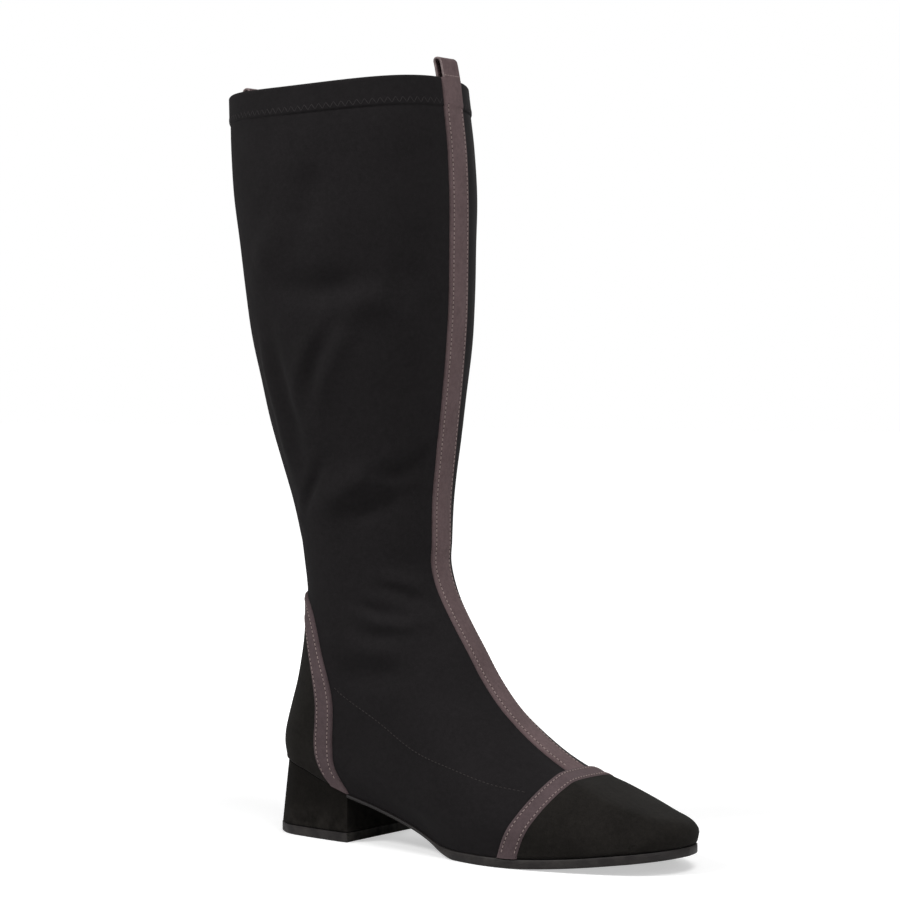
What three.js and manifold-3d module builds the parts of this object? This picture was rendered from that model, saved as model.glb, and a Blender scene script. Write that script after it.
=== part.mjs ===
// A knee-high boot for the right foot, in millimetres, +Z up.
// +X points at the toe and +Y at the inner (medial) side. The boot stands on the plane z = 0.
import * as THREE from "three";
import { mergeVertices } from "three/addons/utils/BufferGeometryUtils.js";
import Module from "manifold-3d";

const wasm = await Module();
wasm.setup();

// Driving dimensions of the last and the shaft
const SOLE_LENGTH = 250;
const BALL_WIDTH = 88;
const SEAT_WIDTH = 57;
const HEEL_HEIGHT = 40;
const TOE_SPRING = 8;
const SHOULDER_HEIGHT = 48;
const ANKLE_HEIGHT = 158;
const ANKLE_DEPTH = 84.5;
const ANKLE_WIDTH = 72;
const SHAFT_HEIGHT = 397;
const CALF_DEPTH = 136;
const CALF_WIDTH = 119;
const COLLAR_RAKE = 0.054;

// Walls, layers and running gaps
const WALL = 2;
const HEM_HEIGHT = 15;
const HEM_STEP = 0.6;
const HEM_RAMP = 1.5;
const RIM_WAVE = 1.2;
const GAP = 0.3;
const SUEDE = 1;
const BAND_SUEDE = 1.3;

// Sole and heel
const SOLE_THICKNESS = 5;
const WAIST_THICKNESS = 2;
const WELT = 1.2;
const BREAST = 58;
const HEEL_RAKE = 5;
const TOP_PIECE_THICKNESS = 5;
const INSOLE_THICKNESS = 3;

// Front strip and the pull loops over the collar
const STRIP_WIDTH = 16.4;
const STRIP_SHIFT = 1;
const STRAP = 1.2;
const LOOP_WIDTH = 15;
const LOOP_RISE = 11;
const LOOP_LEG = 14;
const LOOP_SAG = 0.8;

// Zip on the inner side
const ZIP_END = 72;
const SLOT_WIDTH = 8.4;
const TAPE_WIDTH = 24;
const TAPE_THICKNESS = 0.8;
const TEETH_WIDTH = 5.2;
const TEETH_DEPTH = 1.7;
const SLIDER_WIDTH = 7.2;
const SLIDER_LENGTH = 9.5;
const SLIDER_THICKNESS = 2.2;
const SLIDER_DROP = 9;
const BRIDGE_WIDTH = 1.6;
const BRIDGE_SPAN = 3.2;
const BRIDGE_METAL = 1;
const PIN = 1;
const TAB_WIDTH = 4.8;
const TAB_LENGTH = 13;
const TAB_EYE = 3.7;

// Half widths of the feather line: 0 is half the seat width, 1 is half the ball width.
// The swell is how far the side stands out over the feather, as a share of half the ball width.
const OUTLINE = [
  { at: 0.0, lateral: -0.48, medial: -0.48, swell: 0.04 },
  { at: 0.08, lateral: -0.3, medial: -0.3, swell: 0.05 },
  { at: 0.16, lateral: -0.1, medial: -0.1, swell: 0.06 },
  { at: 0.232, lateral: 0.0, medial: -0.02, swell: 0.08 },
  { at: 0.31, lateral: -0.03, medial: -0.13, swell: 0.13 },
  { at: 0.39, lateral: 0.03, medial: -0.19, swell: 0.15 },
  { at: 0.45, lateral: 0.23, medial: -0.03, swell: 0.13 },
  { at: 0.5, lateral: 0.52, medial: 0.23, swell: 0.09 },
  { at: 0.56, lateral: 0.81, medial: 0.55, swell: 0.06 },
  { at: 0.63, lateral: 1.0, medial: 0.87, swell: 0.04 },
  { at: 0.7, lateral: 0.94, medial: 0.97, swell: 0.035 },
  { at: 0.76, lateral: 0.77, medial: 0.87, swell: 0.035 },
  { at: 0.82, lateral: 0.55, medial: 0.65, swell: 0.035 },
  { at: 0.88, lateral: 0.26, medial: 0.32, swell: 0.035 },
  { at: 0.94, lateral: -0.07, medial: -0.08, swell: 0.035 },
  { at: 1.0, lateral: -0.26, medial: -0.32, swell: 0.035 },
];

// Side line of the sole: how much of the heel's rise, of the toe spring and of the full
// sole thickness is there, along the sole length.
const SIDE_LINE = [
  { at: 0.0, rise: 1.0, spring: 0, thick: 0 },
  { at: 0.05, rise: 0.965, spring: 0, thick: 0 },
  { at: 0.1, rise: 0.89, spring: 0, thick: 0 },
  { at: 0.152, rise: 0.766, spring: 0, thick: 0 },
  { at: 0.2, rise: 0.67, spring: 0, thick: 0 },
  { at: 0.24, rise: 0.585, spring: 0, thick: 0 },
  { at: 0.29, rise: 0.49, spring: 0, thick: 0 },
  { at: 0.348, rise: 0.37, spring: 0, thick: 0 },
  { at: 0.388, rise: 0.28, spring: 0, thick: 0 },
  { at: 0.43, rise: 0.185, spring: 0, thick: 0 },
  { at: 0.468, rise: 0.09, spring: 0, thick: 0.06 },
  { at: 0.5, rise: 0.03, spring: 0, thick: 0.5 },
  { at: 0.532, rise: 0.004, spring: 0, thick: 0.94 },
  { at: 0.56, rise: 0, spring: 0, thick: 1 },
  { at: 0.62, rise: 0, spring: 0, thick: 1 },
  { at: 0.68, rise: 0, spring: 0, thick: 1 },
  { at: 0.72, rise: 0, spring: 0.05, thick: 1 },
  { at: 0.78, rise: 0, spring: 0.19, thick: 1 },
  { at: 0.84, rise: 0, spring: 0.38, thick: 1 },
  { at: 0.92, rise: 0, spring: 0.69, thick: 1 },
  { at: 1.0, rise: 0, spring: 1, thick: 1 },
];

// Ridge of the vamp, from the toe up to the ankle. Heights below the shoulder are shares of the
// shoulder height, the others shares of the way from the shoulder to the ankle.
// The reach is how far below the ridge the side is upright, as a share of half the ball width.
const VAMP = [
  { at: 0.998, low: 0.41, high: 0, reach: 0.5 },
  { at: 0.98, low: 0.525, high: 0, reach: 0.52 },
  { at: 0.938, low: 0.61, high: 0, reach: 0.55 },
  { at: 0.875, low: 0.725, high: 0, reach: 0.6 },
  { at: 0.81, low: 0.838, high: 0, reach: 0.68 },
  { at: 0.735, low: 0.96, high: 0, reach: 0.78 },
  { at: 0.652, low: 1.0, high: 0.085, reach: 0.9 },
  { at: 0.578, low: 1.0, high: 0.22, reach: 1.02 },
  { at: 0.525, low: 1.0, high: 0.36, reach: 1.1 },
  { at: 0.483, low: 1.0, high: 0.505, reach: 1.1 },
  { at: 0.442, low: 1.0, high: 0.645, reach: 1.06 },
  { at: 0.407, low: 1.0, high: 0.782, reach: 1.0 },
  { at: 0.391, low: 1.0, high: 0.9, reach: 0.97 },
];

// Line of the back, from the heel seat up to the ankle: its place along the sole length, its
// height as a share of the way from the heel seat to the ankle, and its reach as in the vamp.
const BACK = [
  { at: 0.006, up: 0.07, reach: 0.5 },
  { at: 0.01, up: 0.136, reach: 0.53 },
  { at: 0.019, up: 0.2, reach: 0.56 },
  { at: 0.034, up: 0.29, reach: 0.62 },
  { at: 0.048, up: 0.373, reach: 0.68 },
  { at: 0.059, up: 0.466, reach: 0.76 },
  { at: 0.067, up: 0.56, reach: 0.84 },
  { at: 0.071, up: 0.66, reach: 0.9 },
  { at: 0.07, up: 0.76, reach: 0.94 },
  { at: 0.064, up: 0.87, reach: 0.96 },
];
const SEAT_AT = 0.01;
const SEAT_REACH = 0.47;

// Ovals of the leg: height as a share of the way from ankle to collar, middle along the sole
// length, and how much of the way from the ankle's to the calf's depth and width is there.
const LEG = [
  { up: 0.0, middle: 0.224, full: 0.0 },
  { up: 0.1, middle: 0.212, full: 0.13 },
  { up: 0.23, middle: 0.198, full: 0.4 },
  { up: 0.36, middle: 0.19, full: 0.62 },
  { up: 0.49, middle: 0.182, full: 0.8 },
  { up: 0.62, middle: 0.175, full: 0.9 },
  { up: 0.75, middle: 0.167, full: 0.98 },
  { up: 0.86, middle: 0.159, full: 1.0 },
  { up: 1.0, middle: 0.147, full: 0.95 },
];

// Rear and front edge of the toe band in side view, as shares of the sole length, at heights
// that are shares of the shoulder height.
const TOE_BAND = [
  { up: 0.0, rear: 0.652, front: 0.698 },
  { up: 0.25, rear: 0.669, front: 0.716 },
  { up: 0.42, rear: 0.685, front: 0.731 },
  { up: 0.56, rear: 0.7, front: 0.745 },
  { up: 0.71, rear: 0.714, front: 0.759 },
  { up: 0.86, rear: 0.725, front: 0.77 },
  { up: 1.05, rear: 0.731, front: 0.777 },
  { up: 1.25, rear: 0.733, front: 0.779 },
];

// Edges of the heel band in side view: along the sole length, and up as a share of the way
// from the floor to the ankle.
const HEEL_BAND_FRONT = [
  { at: 0.252, up: 0.12 },
  { at: 0.236, up: 0.165 },
  { at: 0.217, up: 0.205 },
  { at: 0.203, up: 0.255 },
  { at: 0.2, up: 0.33 },
  { at: 0.204, up: 0.41 },
  { at: 0.205, up: 0.47 },
  { at: 0.196, up: 0.55 },
  { at: 0.182, up: 0.62 },
  { at: 0.165, up: 0.7 },
  { at: 0.142, up: 0.77 },
  { at: 0.11, up: 0.812 },
  { at: 0.07, up: 0.83 },
  { at: -0.08, up: 0.84 },
];
const HEEL_BAND_BACK = [
  { at: 0.215, up: 0.12 },
  { at: 0.19, up: 0.18 },
  { at: 0.166, up: 0.22 },
  { at: 0.152, up: 0.265 },
  { at: 0.147, up: 0.33 },
  { at: 0.153, up: 0.4 },
  { at: 0.157, up: 0.47 },
  { at: 0.151, up: 0.55 },
  { at: 0.136, up: 0.62 },
  { at: 0.116, up: 0.69 },
  { at: 0.093, up: 0.73 },
  { at: 0.07, up: 0.746 },
  { at: -0.08, up: 0.756 },
];

// Middle of the zip in side view: along the sole length, and up from its end (0) to the
// collar (1).
const ZIP_LINE = [
  { up: -0.1, at: 0.32 },
  { up: 0.0, at: 0.316 },
  { up: 0.08, at: 0.302 },
  { up: 0.16, at: 0.28 },
  { up: 0.24, at: 0.266 },
  { up: 0.36, at: 0.264 },
  { up: 0.5, at: 0.274 },
  { up: 0.66, at: 0.279 },
  { up: 0.82, at: 0.276 },
  { up: 0.92, at: 0.266 },
  { up: 1.0, at: 0.255 },
  { up: 1.1, at: 0.243 },
];

// Fineness of the faceted forms
const FOOT_ROWS = 15;
const ROW_CROWDING = 1.3;
const LEG_ROWS = 15;
const AROUND = 40;
const LINE_STEPS = 60;
const SLOPE_STEP = 1e-3;

const column = (rows, name) => rows.map((row) => row[name]);
const mix = (a, b, share) => a + (b - a) * share;
const clamp = (value, low = 0, high = 1) => Math.min(high, Math.max(low, value));
const ease = (value) => clamp(value) ** 2 * (3 - 2 * clamp(value));

// Smooth curve through values at rising places, with straight ends
function smooth(places, values, at) {
  const last = places.length - 1;
  let i = 0;
  while (i < last - 1 && at > places[i + 1]) i += 1;
  const slope = (k) => {
    const a = Math.max(0, k - 1);
    const b = Math.min(last, k + 1);
    return (values[b] - values[a]) / (places[b] - places[a]);
  };
  const span = places[i + 1] - places[i];
  const t = (at - places[i]) / span;
  if (t < 0) return values[0] + slope(0) * (at - places[0]);
  if (t > 1) return values[last] + slope(last) * (at - places[last]);
  const bend = values[i] * (2 * t ** 3 - 3 * t ** 2 + 1) + values[i + 1] * (3 * t ** 2 - 2 * t ** 3);
  return bend + span * (slope(i) * (t ** 3 - 2 * t ** 2 + t) + slope(i + 1) * (t ** 3 - t ** 2));
}

const read = (rows, key, name, at) => smooth(column(rows, key), column(rows, name), at);

// The sole's side line and outline
const featherHeight = (x) => {
  const at = clamp(x / SOLE_LENGTH);
  const rise = Math.max(0, read(SIDE_LINE, "at", "rise", at)) * (HEEL_HEIGHT - SOLE_THICKNESS);
  return SOLE_THICKNESS + rise + Math.max(0, read(SIDE_LINE, "at", "spring", at)) * TOE_SPRING;
};
const soleThickness = (x) => {
  const thick = clamp(read(SIDE_LINE, "at", "thick", clamp(x / SOLE_LENGTH)));
  return mix(WAIST_THICKNESS, SOLE_THICKNESS, thick);
};
const featherHalfWidth = (x, side) => {
  const spread = read(OUTLINE, "at", side < 0 ? "lateral" : "medial", clamp(x / SOLE_LENGTH, 0, 1.02));
  return mix(SEAT_WIDTH, BALL_WIDTH, spread) / 2;
};

// The leg's ovals
function legOval(height) {
  const up = (height - ANKLE_HEIGHT) / (SHAFT_HEIGHT - ANKLE_HEIGHT);
  const full = read(LEG, "up", "full", up);
  return {
    middle: read(LEG, "up", "middle", up) * SOLE_LENGTH,
    depth: mix(ANKLE_DEPTH, CALF_DEPTH, full),
    width: mix(ANKLE_WIDTH, CALF_WIDTH, full),
  };
}

// A line in the plane y = 0 with a reach at each point, run by distance along it
function lineThrough(points) {
  const places = [0];
  for (let i = 1; i < points.length; i += 1) {
    const step = Math.hypot(points[i].x - points[i - 1].x, points[i].z - points[i - 1].z);
    places.push(places[i - 1] + step);
  }
  const length = places[places.length - 1];
  const at = (place) => ({
    x: smooth(places, column(points, "x"), place),
    z: smooth(places, column(points, "z"), place),
    reach: smooth(places, column(points, "reach"), place),
  });
  return { places, length, at };
}

const halfBall = BALL_WIDTH / 2;
const legEdge = (height, way) => {
  const oval = legOval(height);
  return { x: oval.middle + (way * oval.depth) / 2, z: height, reach: oval.depth / 2 };
};
const legHeights = LEG.map((row) => mix(ANKLE_HEIGHT, SHAFT_HEIGHT, row.up));
legHeights.push(SHAFT_HEIGHT + HEM_HEIGHT);

const toePoint = { x: SOLE_LENGTH - WELT, z: featherHeight(SOLE_LENGTH), reach: VAMP[0].reach * halfBall };
const vampPoints = VAMP.map((row) => ({
  x: row.at * SOLE_LENGTH,
  z: row.low * SHOULDER_HEIGHT + row.high * (ANKLE_HEIGHT - SHOULDER_HEIGHT),
  reach: row.reach * halfBall,
}));
const seatPoint = { x: SEAT_AT * SOLE_LENGTH, z: featherHeight(0), reach: SEAT_REACH * halfBall };
const backPoints = BACK.map((row) => ({
  x: row.at * SOLE_LENGTH,
  z: mix(HEEL_HEIGHT, ANKLE_HEIGHT, row.up),
  reach: row.reach * halfBall,
}));
const frontLine = lineThrough([toePoint, ...vampPoints, ...legHeights.map((h) => legEdge(h, 1))]);
const backLine = lineThrough([seatPoint, ...backPoints, ...legHeights.map((h) => legEdge(h, -1))]);
const frontAnkle = frontLine.places[1 + VAMP.length];
const backAnkle = backLine.places[1 + BACK.length];

// Points along a line, used to measure how far a place on the side lies from it
function samples(line) {
  return Array.from({ length: LINE_STEPS + 1 }, (_, i) => line.at((line.length * i) / LINE_STEPS));
}
const frontSamples = samples(frontLine);
const backSamples = samples(backLine);

function roundness(x, z, line) {
  let nearest = Infinity;
  let reach = 1;
  for (let i = 0; i < line.length - 1; i += 1) {
    const a = line[i];
    const b = line[i + 1];
    const dx = b.x - a.x;
    const dz = b.z - a.z;
    const t = clamp(((x - a.x) * dx + (z - a.z) * dz) / (dx * dx + dz * dz));
    const away = Math.hypot(x - a.x - t * dx, z - a.z - t * dz);
    if (away < nearest) {
      nearest = away;
      reach = mix(a.reach, b.reach, t);
    }
  }
  return Math.sqrt(1 - (1 - clamp(nearest / reach)) ** 2);
}

// Half width of the upper at a place of its side view
const SWELL_HEIGHT = 16;
const LEG_BLEND = 0.8;
function halfWidth(x, z, side) {
  const over = ease((z - featherHeight(x)) / SWELL_HEIGHT);
  const swell = read(OUTLINE, "at", "swell", clamp(x / SOLE_LENGTH)) * halfBall * over;
  const foot = featherHalfWidth(x, side) + swell;
  const leg = legOval(Math.max(z, ANKLE_HEIGHT)).width / 2;
  const up = ease((z - HEEL_HEIGHT) / (LEG_BLEND * ANKLE_HEIGHT - HEEL_HEIGHT));
  return mix(foot, leg, up);
}

// Place of the upper's outside: level 0 is the feather line, 1 the ankle, 2 the collar.
// The turn runs from the back (0) over the outer side to the front (0.5) and back inside.
const FOLLOW = 0.5;
const RIM_WAVES = 3;
const RIM_PHASE = 0.36;
function bareSkin(level, turn) {
  const foot = Math.min(level, 1);
  const height = mix(ANKLE_HEIGHT, SHAFT_HEIGHT, Math.max(level - 1, 0));
  const front = level < 1 ? frontLine.at(foot * frontAnkle) : legEdge(height, 1);
  const back = level < 1 ? backLine.at(foot * backAnkle) : legEdge(height, -1);
  const share = (1 - Math.cos(2 * Math.PI * turn)) / 2;
  const x = mix(back.x, front.x, share);
  const chord = (x - seatPoint.x) / (toePoint.x - seatPoint.x);
  const sag = featherHeight(x) - mix(seatPoint.z, toePoint.z, chord);
  const follow = clamp(1 - foot / FOLLOW) ** 2;
  const z = mix(back.z, front.z, share) + follow * sag;
  const side = Math.sin(2 * Math.PI * turn) > 0 ? -1 : 1;
  const ends = share < 1e-9 || share > 1 - 1e-9;
  const round = roundness(x, z, frontSamples) * roundness(x, z, backSamples);
  const y = ends ? 0 : side * halfWidth(x, z, side) * round;
  const rim = Math.max(level - 1, 0) ** 2;
  const wave = RIM_WAVE * Math.sin(2 * Math.PI * RIM_WAVES * (turn - RIM_PHASE));
  return new THREE.Vector3(x, y, z + rim * (COLLAR_RAKE * (x - legOval(height).middle) + wave));
}

function outward(level, turn) {
  const a = bareSkin(Math.max(level - SLOPE_STEP, 0), turn);
  const b = bareSkin(Math.min(level + SLOPE_STEP, 2), turn);
  const c = bareSkin(level, turn - SLOPE_STEP);
  const d = bareSkin(level, turn + SLOPE_STEP);
  const normal = d.sub(c).cross(b.sub(a));
  if (level === 0) normal.z = 0;
  return normal.normalize();
}

const hemLevel = 2 - HEM_HEIGHT / (SHAFT_HEIGHT - ANKLE_HEIGHT);
const HEM_SLOPE = HEM_RAMP / (SHAFT_HEIGHT - ANKLE_HEIGHT);
const hemStep = (level) => HEM_STEP * clamp((level - hemLevel) / HEM_SLOPE);

// A point at a distance outside the upper's face
function skin(level, turn, distance) {
  return bareSkin(level, turn).addScaledVector(outward(level, turn), distance);
}

const LEVELS = [];
for (let i = 0; i < FOOT_ROWS; i += 1) LEVELS.push((i / FOOT_ROWS) ** ROW_CROWDING);
for (let i = 0; i < LEG_ROWS; i += 1) LEVELS.push(1 + (i / LEG_ROWS) * (hemLevel - 1));
LEVELS.push(hemLevel, hemLevel + HEM_SLOPE, 2);

const ringAt = (level, distance) =>
  Array.from({ length: AROUND }, (_, i) => skin(level, i / AROUND, distance));
const outerRings = (distance) => LEVELS.map((level) => ringAt(level, hemStep(level) + distance));
const innerRings = (distance) => LEVELS.map((level) => ringAt(level, distance));

// Closed geometry from rings of points; the ends are closed by ladders across the rings,
// or the last ring runs back into the first
function fromRings(rings, loop = false) {
  const around = rings[0].length;
  const positions = rings.flat().flatMap((p) => [p.x, p.y, p.z]);
  const index = [];
  const steps = loop ? rings.length : rings.length - 1;
  for (let r = 0; r < steps; r += 1) {
    const next = (r + 1) % rings.length;
    for (let i = 0; i < around; i += 1) {
      const j = (i + 1) % around;
      const [a, b, c, d] = [r * around + i, r * around + j, next * around + j, next * around + i];
      index.push(a, b, c, a, c, d);
    }
  }
  if (!loop) {
    for (const [first, flip] of [[0, true], [(rings.length - 1) * around, false]]) {
      for (let i = 0; i < around / 2; i += 1) {
        const [a, b] = [first + i, first + i + 1];
        const [c, d] = [first + ((around - i - 1) % around), first + ((around - i) % around)];
        const ladder = i === 0 ? [[a, b, c]] : i === around / 2 - 1 ? [[a, b, d]] : [[a, b, c], [a, c, d]];
        for (const [p, q, r] of ladder) index.push(...(flip ? [p, r, q] : [p, q, r]));
      }
    }
  }
  const geometry = new THREE.BufferGeometry();
  geometry.setAttribute("position", new THREE.Float32BufferAttribute(positions, 3));
  geometry.setIndex(index);
  return geometry;
}

function solid(geometry) {
  const bare = geometry.clone();
  bare.deleteAttribute("normal");
  bare.deleteAttribute("uv");
  const merged = mergeVertices(bare);
  return new wasm.Manifold(
    new wasm.Mesh({
      numProp: 3,
      vertProperties: new Float32Array(merged.attributes.position.array),
      triVerts: new Uint32Array(merged.index.array),
    }),
  );
}

function geometryOf(body) {
  const mesh = body.getMesh();
  const geometry = new THREE.BufferGeometry();
  geometry.setAttribute("position", new THREE.Float32BufferAttribute(mesh.vertProperties, 3));
  geometry.setIndex([...mesh.triVerts]);
  return geometry;
}

const boot = new THREE.Group();
function place(name, geometry, material) {
  geometry.computeVertexNormals();
  const mesh = new THREE.Mesh(geometry, material);
  mesh.name = name;
  boot.add(mesh);
  return mesh;
}

const mm = (share) => share * SOLE_LENGTH;

// A prism along Y over an outline in side view
function prism(outline, from, to) {
  const shape = new THREE.Shape(outline.map(([x, z]) => new THREE.Vector2(x, z)));
  const geometry = new THREE.ExtrudeGeometry(shape, { depth: to - from, bevelEnabled: false });
  geometry.rotateX(Math.PI / 2).translate(0, to, 0);
  return solid(geometry);
}

// The upper's own form, filled, at a distance outside its face; a long one stands out
// over both ends so that it cuts another form cleanly.
const END_REACH = 30;
function filled(rings, long = false) {
  if (!long) return solid(fromRings(rings));
  const shifted = (ring, up) => ring.map((p) => p.clone().add(new THREE.Vector3(0, 0, up)));
  const ends = [shifted(rings[0], -END_REACH), shifted(rings.at(-1), END_REACH)];
  return solid(fromRings([ends[0], ...rings, ends[1]]));
}

function layer(from, thickness, rings = outerRings) {
  return filled(rings(from + thickness)).subtract(filled(rings(from), true));
}

const OUTSIDE = SOLE_LENGTH;
const curvePoints = (rows, key, name, from, to, steps) =>
  Array.from({ length: steps + 1 }, (_, i) => {
    const at = mix(from, to, i / steps);
    return [read(rows, key, name, at), at];
  });

// Side view outlines of the trims
const BAND_STEPS = 8;
const BAND_RANGE = [-0.2, 1.25];
const bandEdge = (name, shift) =>
  curvePoints(TOE_BAND, "up", name, ...BAND_RANGE, BAND_STEPS).map(([at, up]) => [
    mm(at) + shift,
    up * SHOULDER_HEIGHT,
  ]);
const bandOutline = [...bandEdge("rear", 0), ...bandEdge("front", 0).reverse()];
const forwardOf = (name, shift) => {
  const edge = bandEdge(name, shift);
  return [...edge, [SOLE_LENGTH + OUTSIDE, edge.at(-1)[1]], [SOLE_LENGTH + OUTSIDE, edge[0][1]]];
};
const heelEdge = (rows, shift) => rows.map((row) => [mm(row.at) + shift, row.up * ANKLE_HEIGHT + shift]);
const heelBandOutline = [
  ...heelEdge(HEEL_BAND_FRONT, 0),
  ...heelEdge(HEEL_BAND_BACK, 0).reverse(),
];
const counterEdge = heelEdge(HEEL_BAND_BACK, -GAP);
const counterOutline = [
  ...counterEdge,
  [-OUTSIDE, counterEdge.at(-1)[1]],
  [-OUTSIDE, 0],
  [counterEdge[0][0], 0],
];

const ZIP_STEPS = 14;
function zipOutline(width, from, to) {
  const height = SHAFT_HEIGHT - ZIP_END;
  const ends = [from, to].map((z) => (z - ZIP_END) / height);
  const line = curvePoints(ZIP_LINE, "up", "at", ...ends, ZIP_STEPS);
  const side = (way) => line.map(([at, up]) => [mm(at) + (way * width) / 2, ZIP_END + up * height]);
  return [...side(1), ...side(-1).reverse()];
}

const paint = (color, roughness, metalness = 0) =>
  new THREE.MeshStandardMaterial({ color, roughness, metalness });
const blackFabric = paint(0x1b1a1a, 0.85);
const blackSuede = paint(0x171513, 0.95);
const greySuede = paint(0x5a4a4c, 0.95);
const blackRubber = paint(0x2b2a29, 0.6);
const lining = paint(0x1f1d1c, 0.8);
const zipBlack = paint(0x121212, 0.5);
const blackMetal = paint(0x16161a, 0.35, 0.9);

// Upper: one wall, with the slot for the zip
function upper() {
  const wall = solid(fromRings([...outerRings(0), ...innerRings(-WALL).reverse()], true));
  const slot = prism(zipOutline(SLOT_WIDTH, ZIP_END, SHAFT_HEIGHT + END_REACH), 0, BALL_WIDTH);
  place("upper", geometryOf(wall.subtract(slot)), blackFabric);
}

// Suede layers over the upper
function overlays() {
  const suede = layer(GAP, SUEDE);
  const band = layer(GAP, BAND_SUEDE);
  const wide = [-BALL_WIDTH, BALL_WIDTH];
  place("toe_cap", geometryOf(suede.intersect(prism(forwardOf("front", GAP), ...wide))), blackSuede);
  place("toe_band", geometryOf(band.intersect(prism(bandOutline, ...wide))), greySuede);
  place("heel_counter", geometryOf(suede.intersect(prism(counterOutline, ...wide))), blackSuede);
  place("heel_band", geometryOf(band.intersect(prism(heelBandOutline, ...wide))), greySuede);

  const stripSides = [STRIP_SHIFT - STRIP_WIDTH / 2, STRIP_SHIFT + STRIP_WIDTH / 2];
  const before = legOval(ANKLE_HEIGHT).middle;
  const stripOutline = [
    [before, HEEL_HEIGHT],
    ...bandEdge("rear", -GAP).filter(([, z]) => z > HEEL_HEIGHT),
    [SOLE_LENGTH, ANKLE_HEIGHT],
    [SOLE_LENGTH, SHAFT_HEIGHT + END_REACH],
    [before, SHAFT_HEIGHT + END_REACH],
  ];
  const strip = suede.intersect(prism(stripOutline, ...stripSides));
  place("front_strip", geometryOf(strip.add(pullLoop(1))), greySuede);
  place("back_pull_loop", geometryOf(pullLoop(-1)), greySuede);
}

// A strap folded over the rim at the front (way 1) or the back (way -1); its legs follow the wall
const LOOP_ARC = 8;
const LEG_STEPS = 3;
function pullLoop(way) {
  const rim = bareSkin(2, way > 0 ? 0.5 : 0);
  const outer = HEM_STEP + GAP + (way > 0 ? 0 : GAP);
  const inner = -WALL - GAP - LOOP_SAG;
  const radius = (outer - inner) / 2 + STRAP;
  const middle = (outer + inner) / 2;
  const crown = LOOP_RISE - radius;
  const leg = (out, from, to) =>
    Array.from({ length: LEG_STEPS + 1 }, (_, i) => [out, mix(from, to, i / LEG_STEPS)]);
  const arc = (r, from, to) =>
    Array.from({ length: LOOP_ARC + 1 }, (_, i) => {
      const a = mix(from, to, i / LOOP_ARC);
      return [middle + r * Math.cos(a), crown + r * Math.sin(a)];
    });
  const outline = [
    ...leg(middle + radius, -LOOP_LEG, 0),
    ...arc(radius, 0, Math.PI),
    ...leg(middle - radius, 0, -LOOP_LEG),
    ...leg(middle - radius + STRAP, -LOOP_LEG, 0),
    ...arc(radius - STRAP, Math.PI, 0),
    ...leg(middle + radius - STRAP, 0, -LOOP_LEG),
  ].map(([out, up]) => [legEdge(SHAFT_HEIGHT + up, way).x + way * out, rim.z + up]);
  const shift = way > 0 ? STRIP_SHIFT : 0;
  return prism(way > 0 ? outline : outline.reverse(), shift - LOOP_WIDTH / 2, shift + LOOP_WIDTH / 2);
}

// Rings around the sole: the feather line moved out, at heights from a function of x
function soleRing(out, height, rake = 0) {
  return Array.from({ length: AROUND }, (_, i) => {
    const p = skin(0, i / AROUND, out);
    const x = p.x - rake * (1 - p.x / BREAST);
    return new THREE.Vector3(x, p.y, height(p.x));
  });
}
const bottomHeight = (x) => featherHeight(x) - soleThickness(x);

function sole() {
  const whole = filled([soleRing(WELT, bottomHeight), soleRing(WELT, (x) => featherHeight(x) - GAP)]);
  const tall = [-OUTSIDE, HEEL_HEIGHT + OUTSIDE];
  const box = (from, to) => [[from, tall[0]], [to, tall[0]], [to, tall[1]], [from, tall[1]]];
  const fore = prism(box(BREAST + GAP, SOLE_LENGTH + OUTSIDE), -BALL_WIDTH, BALL_WIDTH);
  const rear = prism(box(-OUTSIDE, BREAST), -BALL_WIDTH, BALL_WIDTH);
  place("outsole", geometryOf(whole.intersect(fore)), blackRubber);

  const foot = TOP_PIECE_THICKNESS + GAP;
  const block = filled([
    soleRing(GAP, () => foot, HEEL_RAKE),
    soleRing(GAP, (x) => Math.max(featherHeight(x), foot + 2 * GAP) - GAP),
  ]);
  place("heel_block", geometryOf(block.intersect(rear)), blackSuede);
  const piece = filled([
    soleRing(2 * GAP, () => 0, HEEL_RAKE),
    soleRing(2 * GAP, () => TOP_PIECE_THICKNESS, HEEL_RAKE),
  ]);
  place("heel_top_piece", geometryOf(piece.intersect(rear)), blackRubber);

  const inset = -WALL - 4 * GAP;
  const board = fromRings([
    soleRing(inset, featherHeight),
    soleRing(inset, (x) => featherHeight(x) + INSOLE_THICKNESS),
  ]);
  place("insole", board, lining);
}

// Zip: tape behind the slot, teeth in it, the slider at the top and its pull tab
function zip() {
  const inside = [0, BALL_WIDTH];
  const top = SHAFT_HEIGHT - 2 * GAP;
  const tape = layer(-WALL - GAP - TAPE_THICKNESS, TAPE_THICKNESS, innerRings);
  const tapeOutline = zipOutline(TAPE_WIDTH, ZIP_END - TAPE_WIDTH / 4, top - SLIDER_THICKNESS);
  place("zip_tape", geometryOf(tape.intersect(prism(tapeOutline, ...inside))), zipBlack);
  const teeth = layer(-WALL, TEETH_DEPTH, innerRings);
  const teethOutline = zipOutline(TEETH_WIDTH, ZIP_END + GAP, top - SLIDER_DROP);
  place("zip_teeth", geometryOf(teeth.intersect(prism(teethOutline, ...inside))), zipBlack);

  const seat = zipSeat();
  const slider = sliderBody();
  place("zip_slider", geometryOf(slider.transform(seat.toArray())), blackMetal);
  place("zip_pull_tab", geometryOf(pullTab().transform(seat.toArray())), blackMetal);
}

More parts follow.
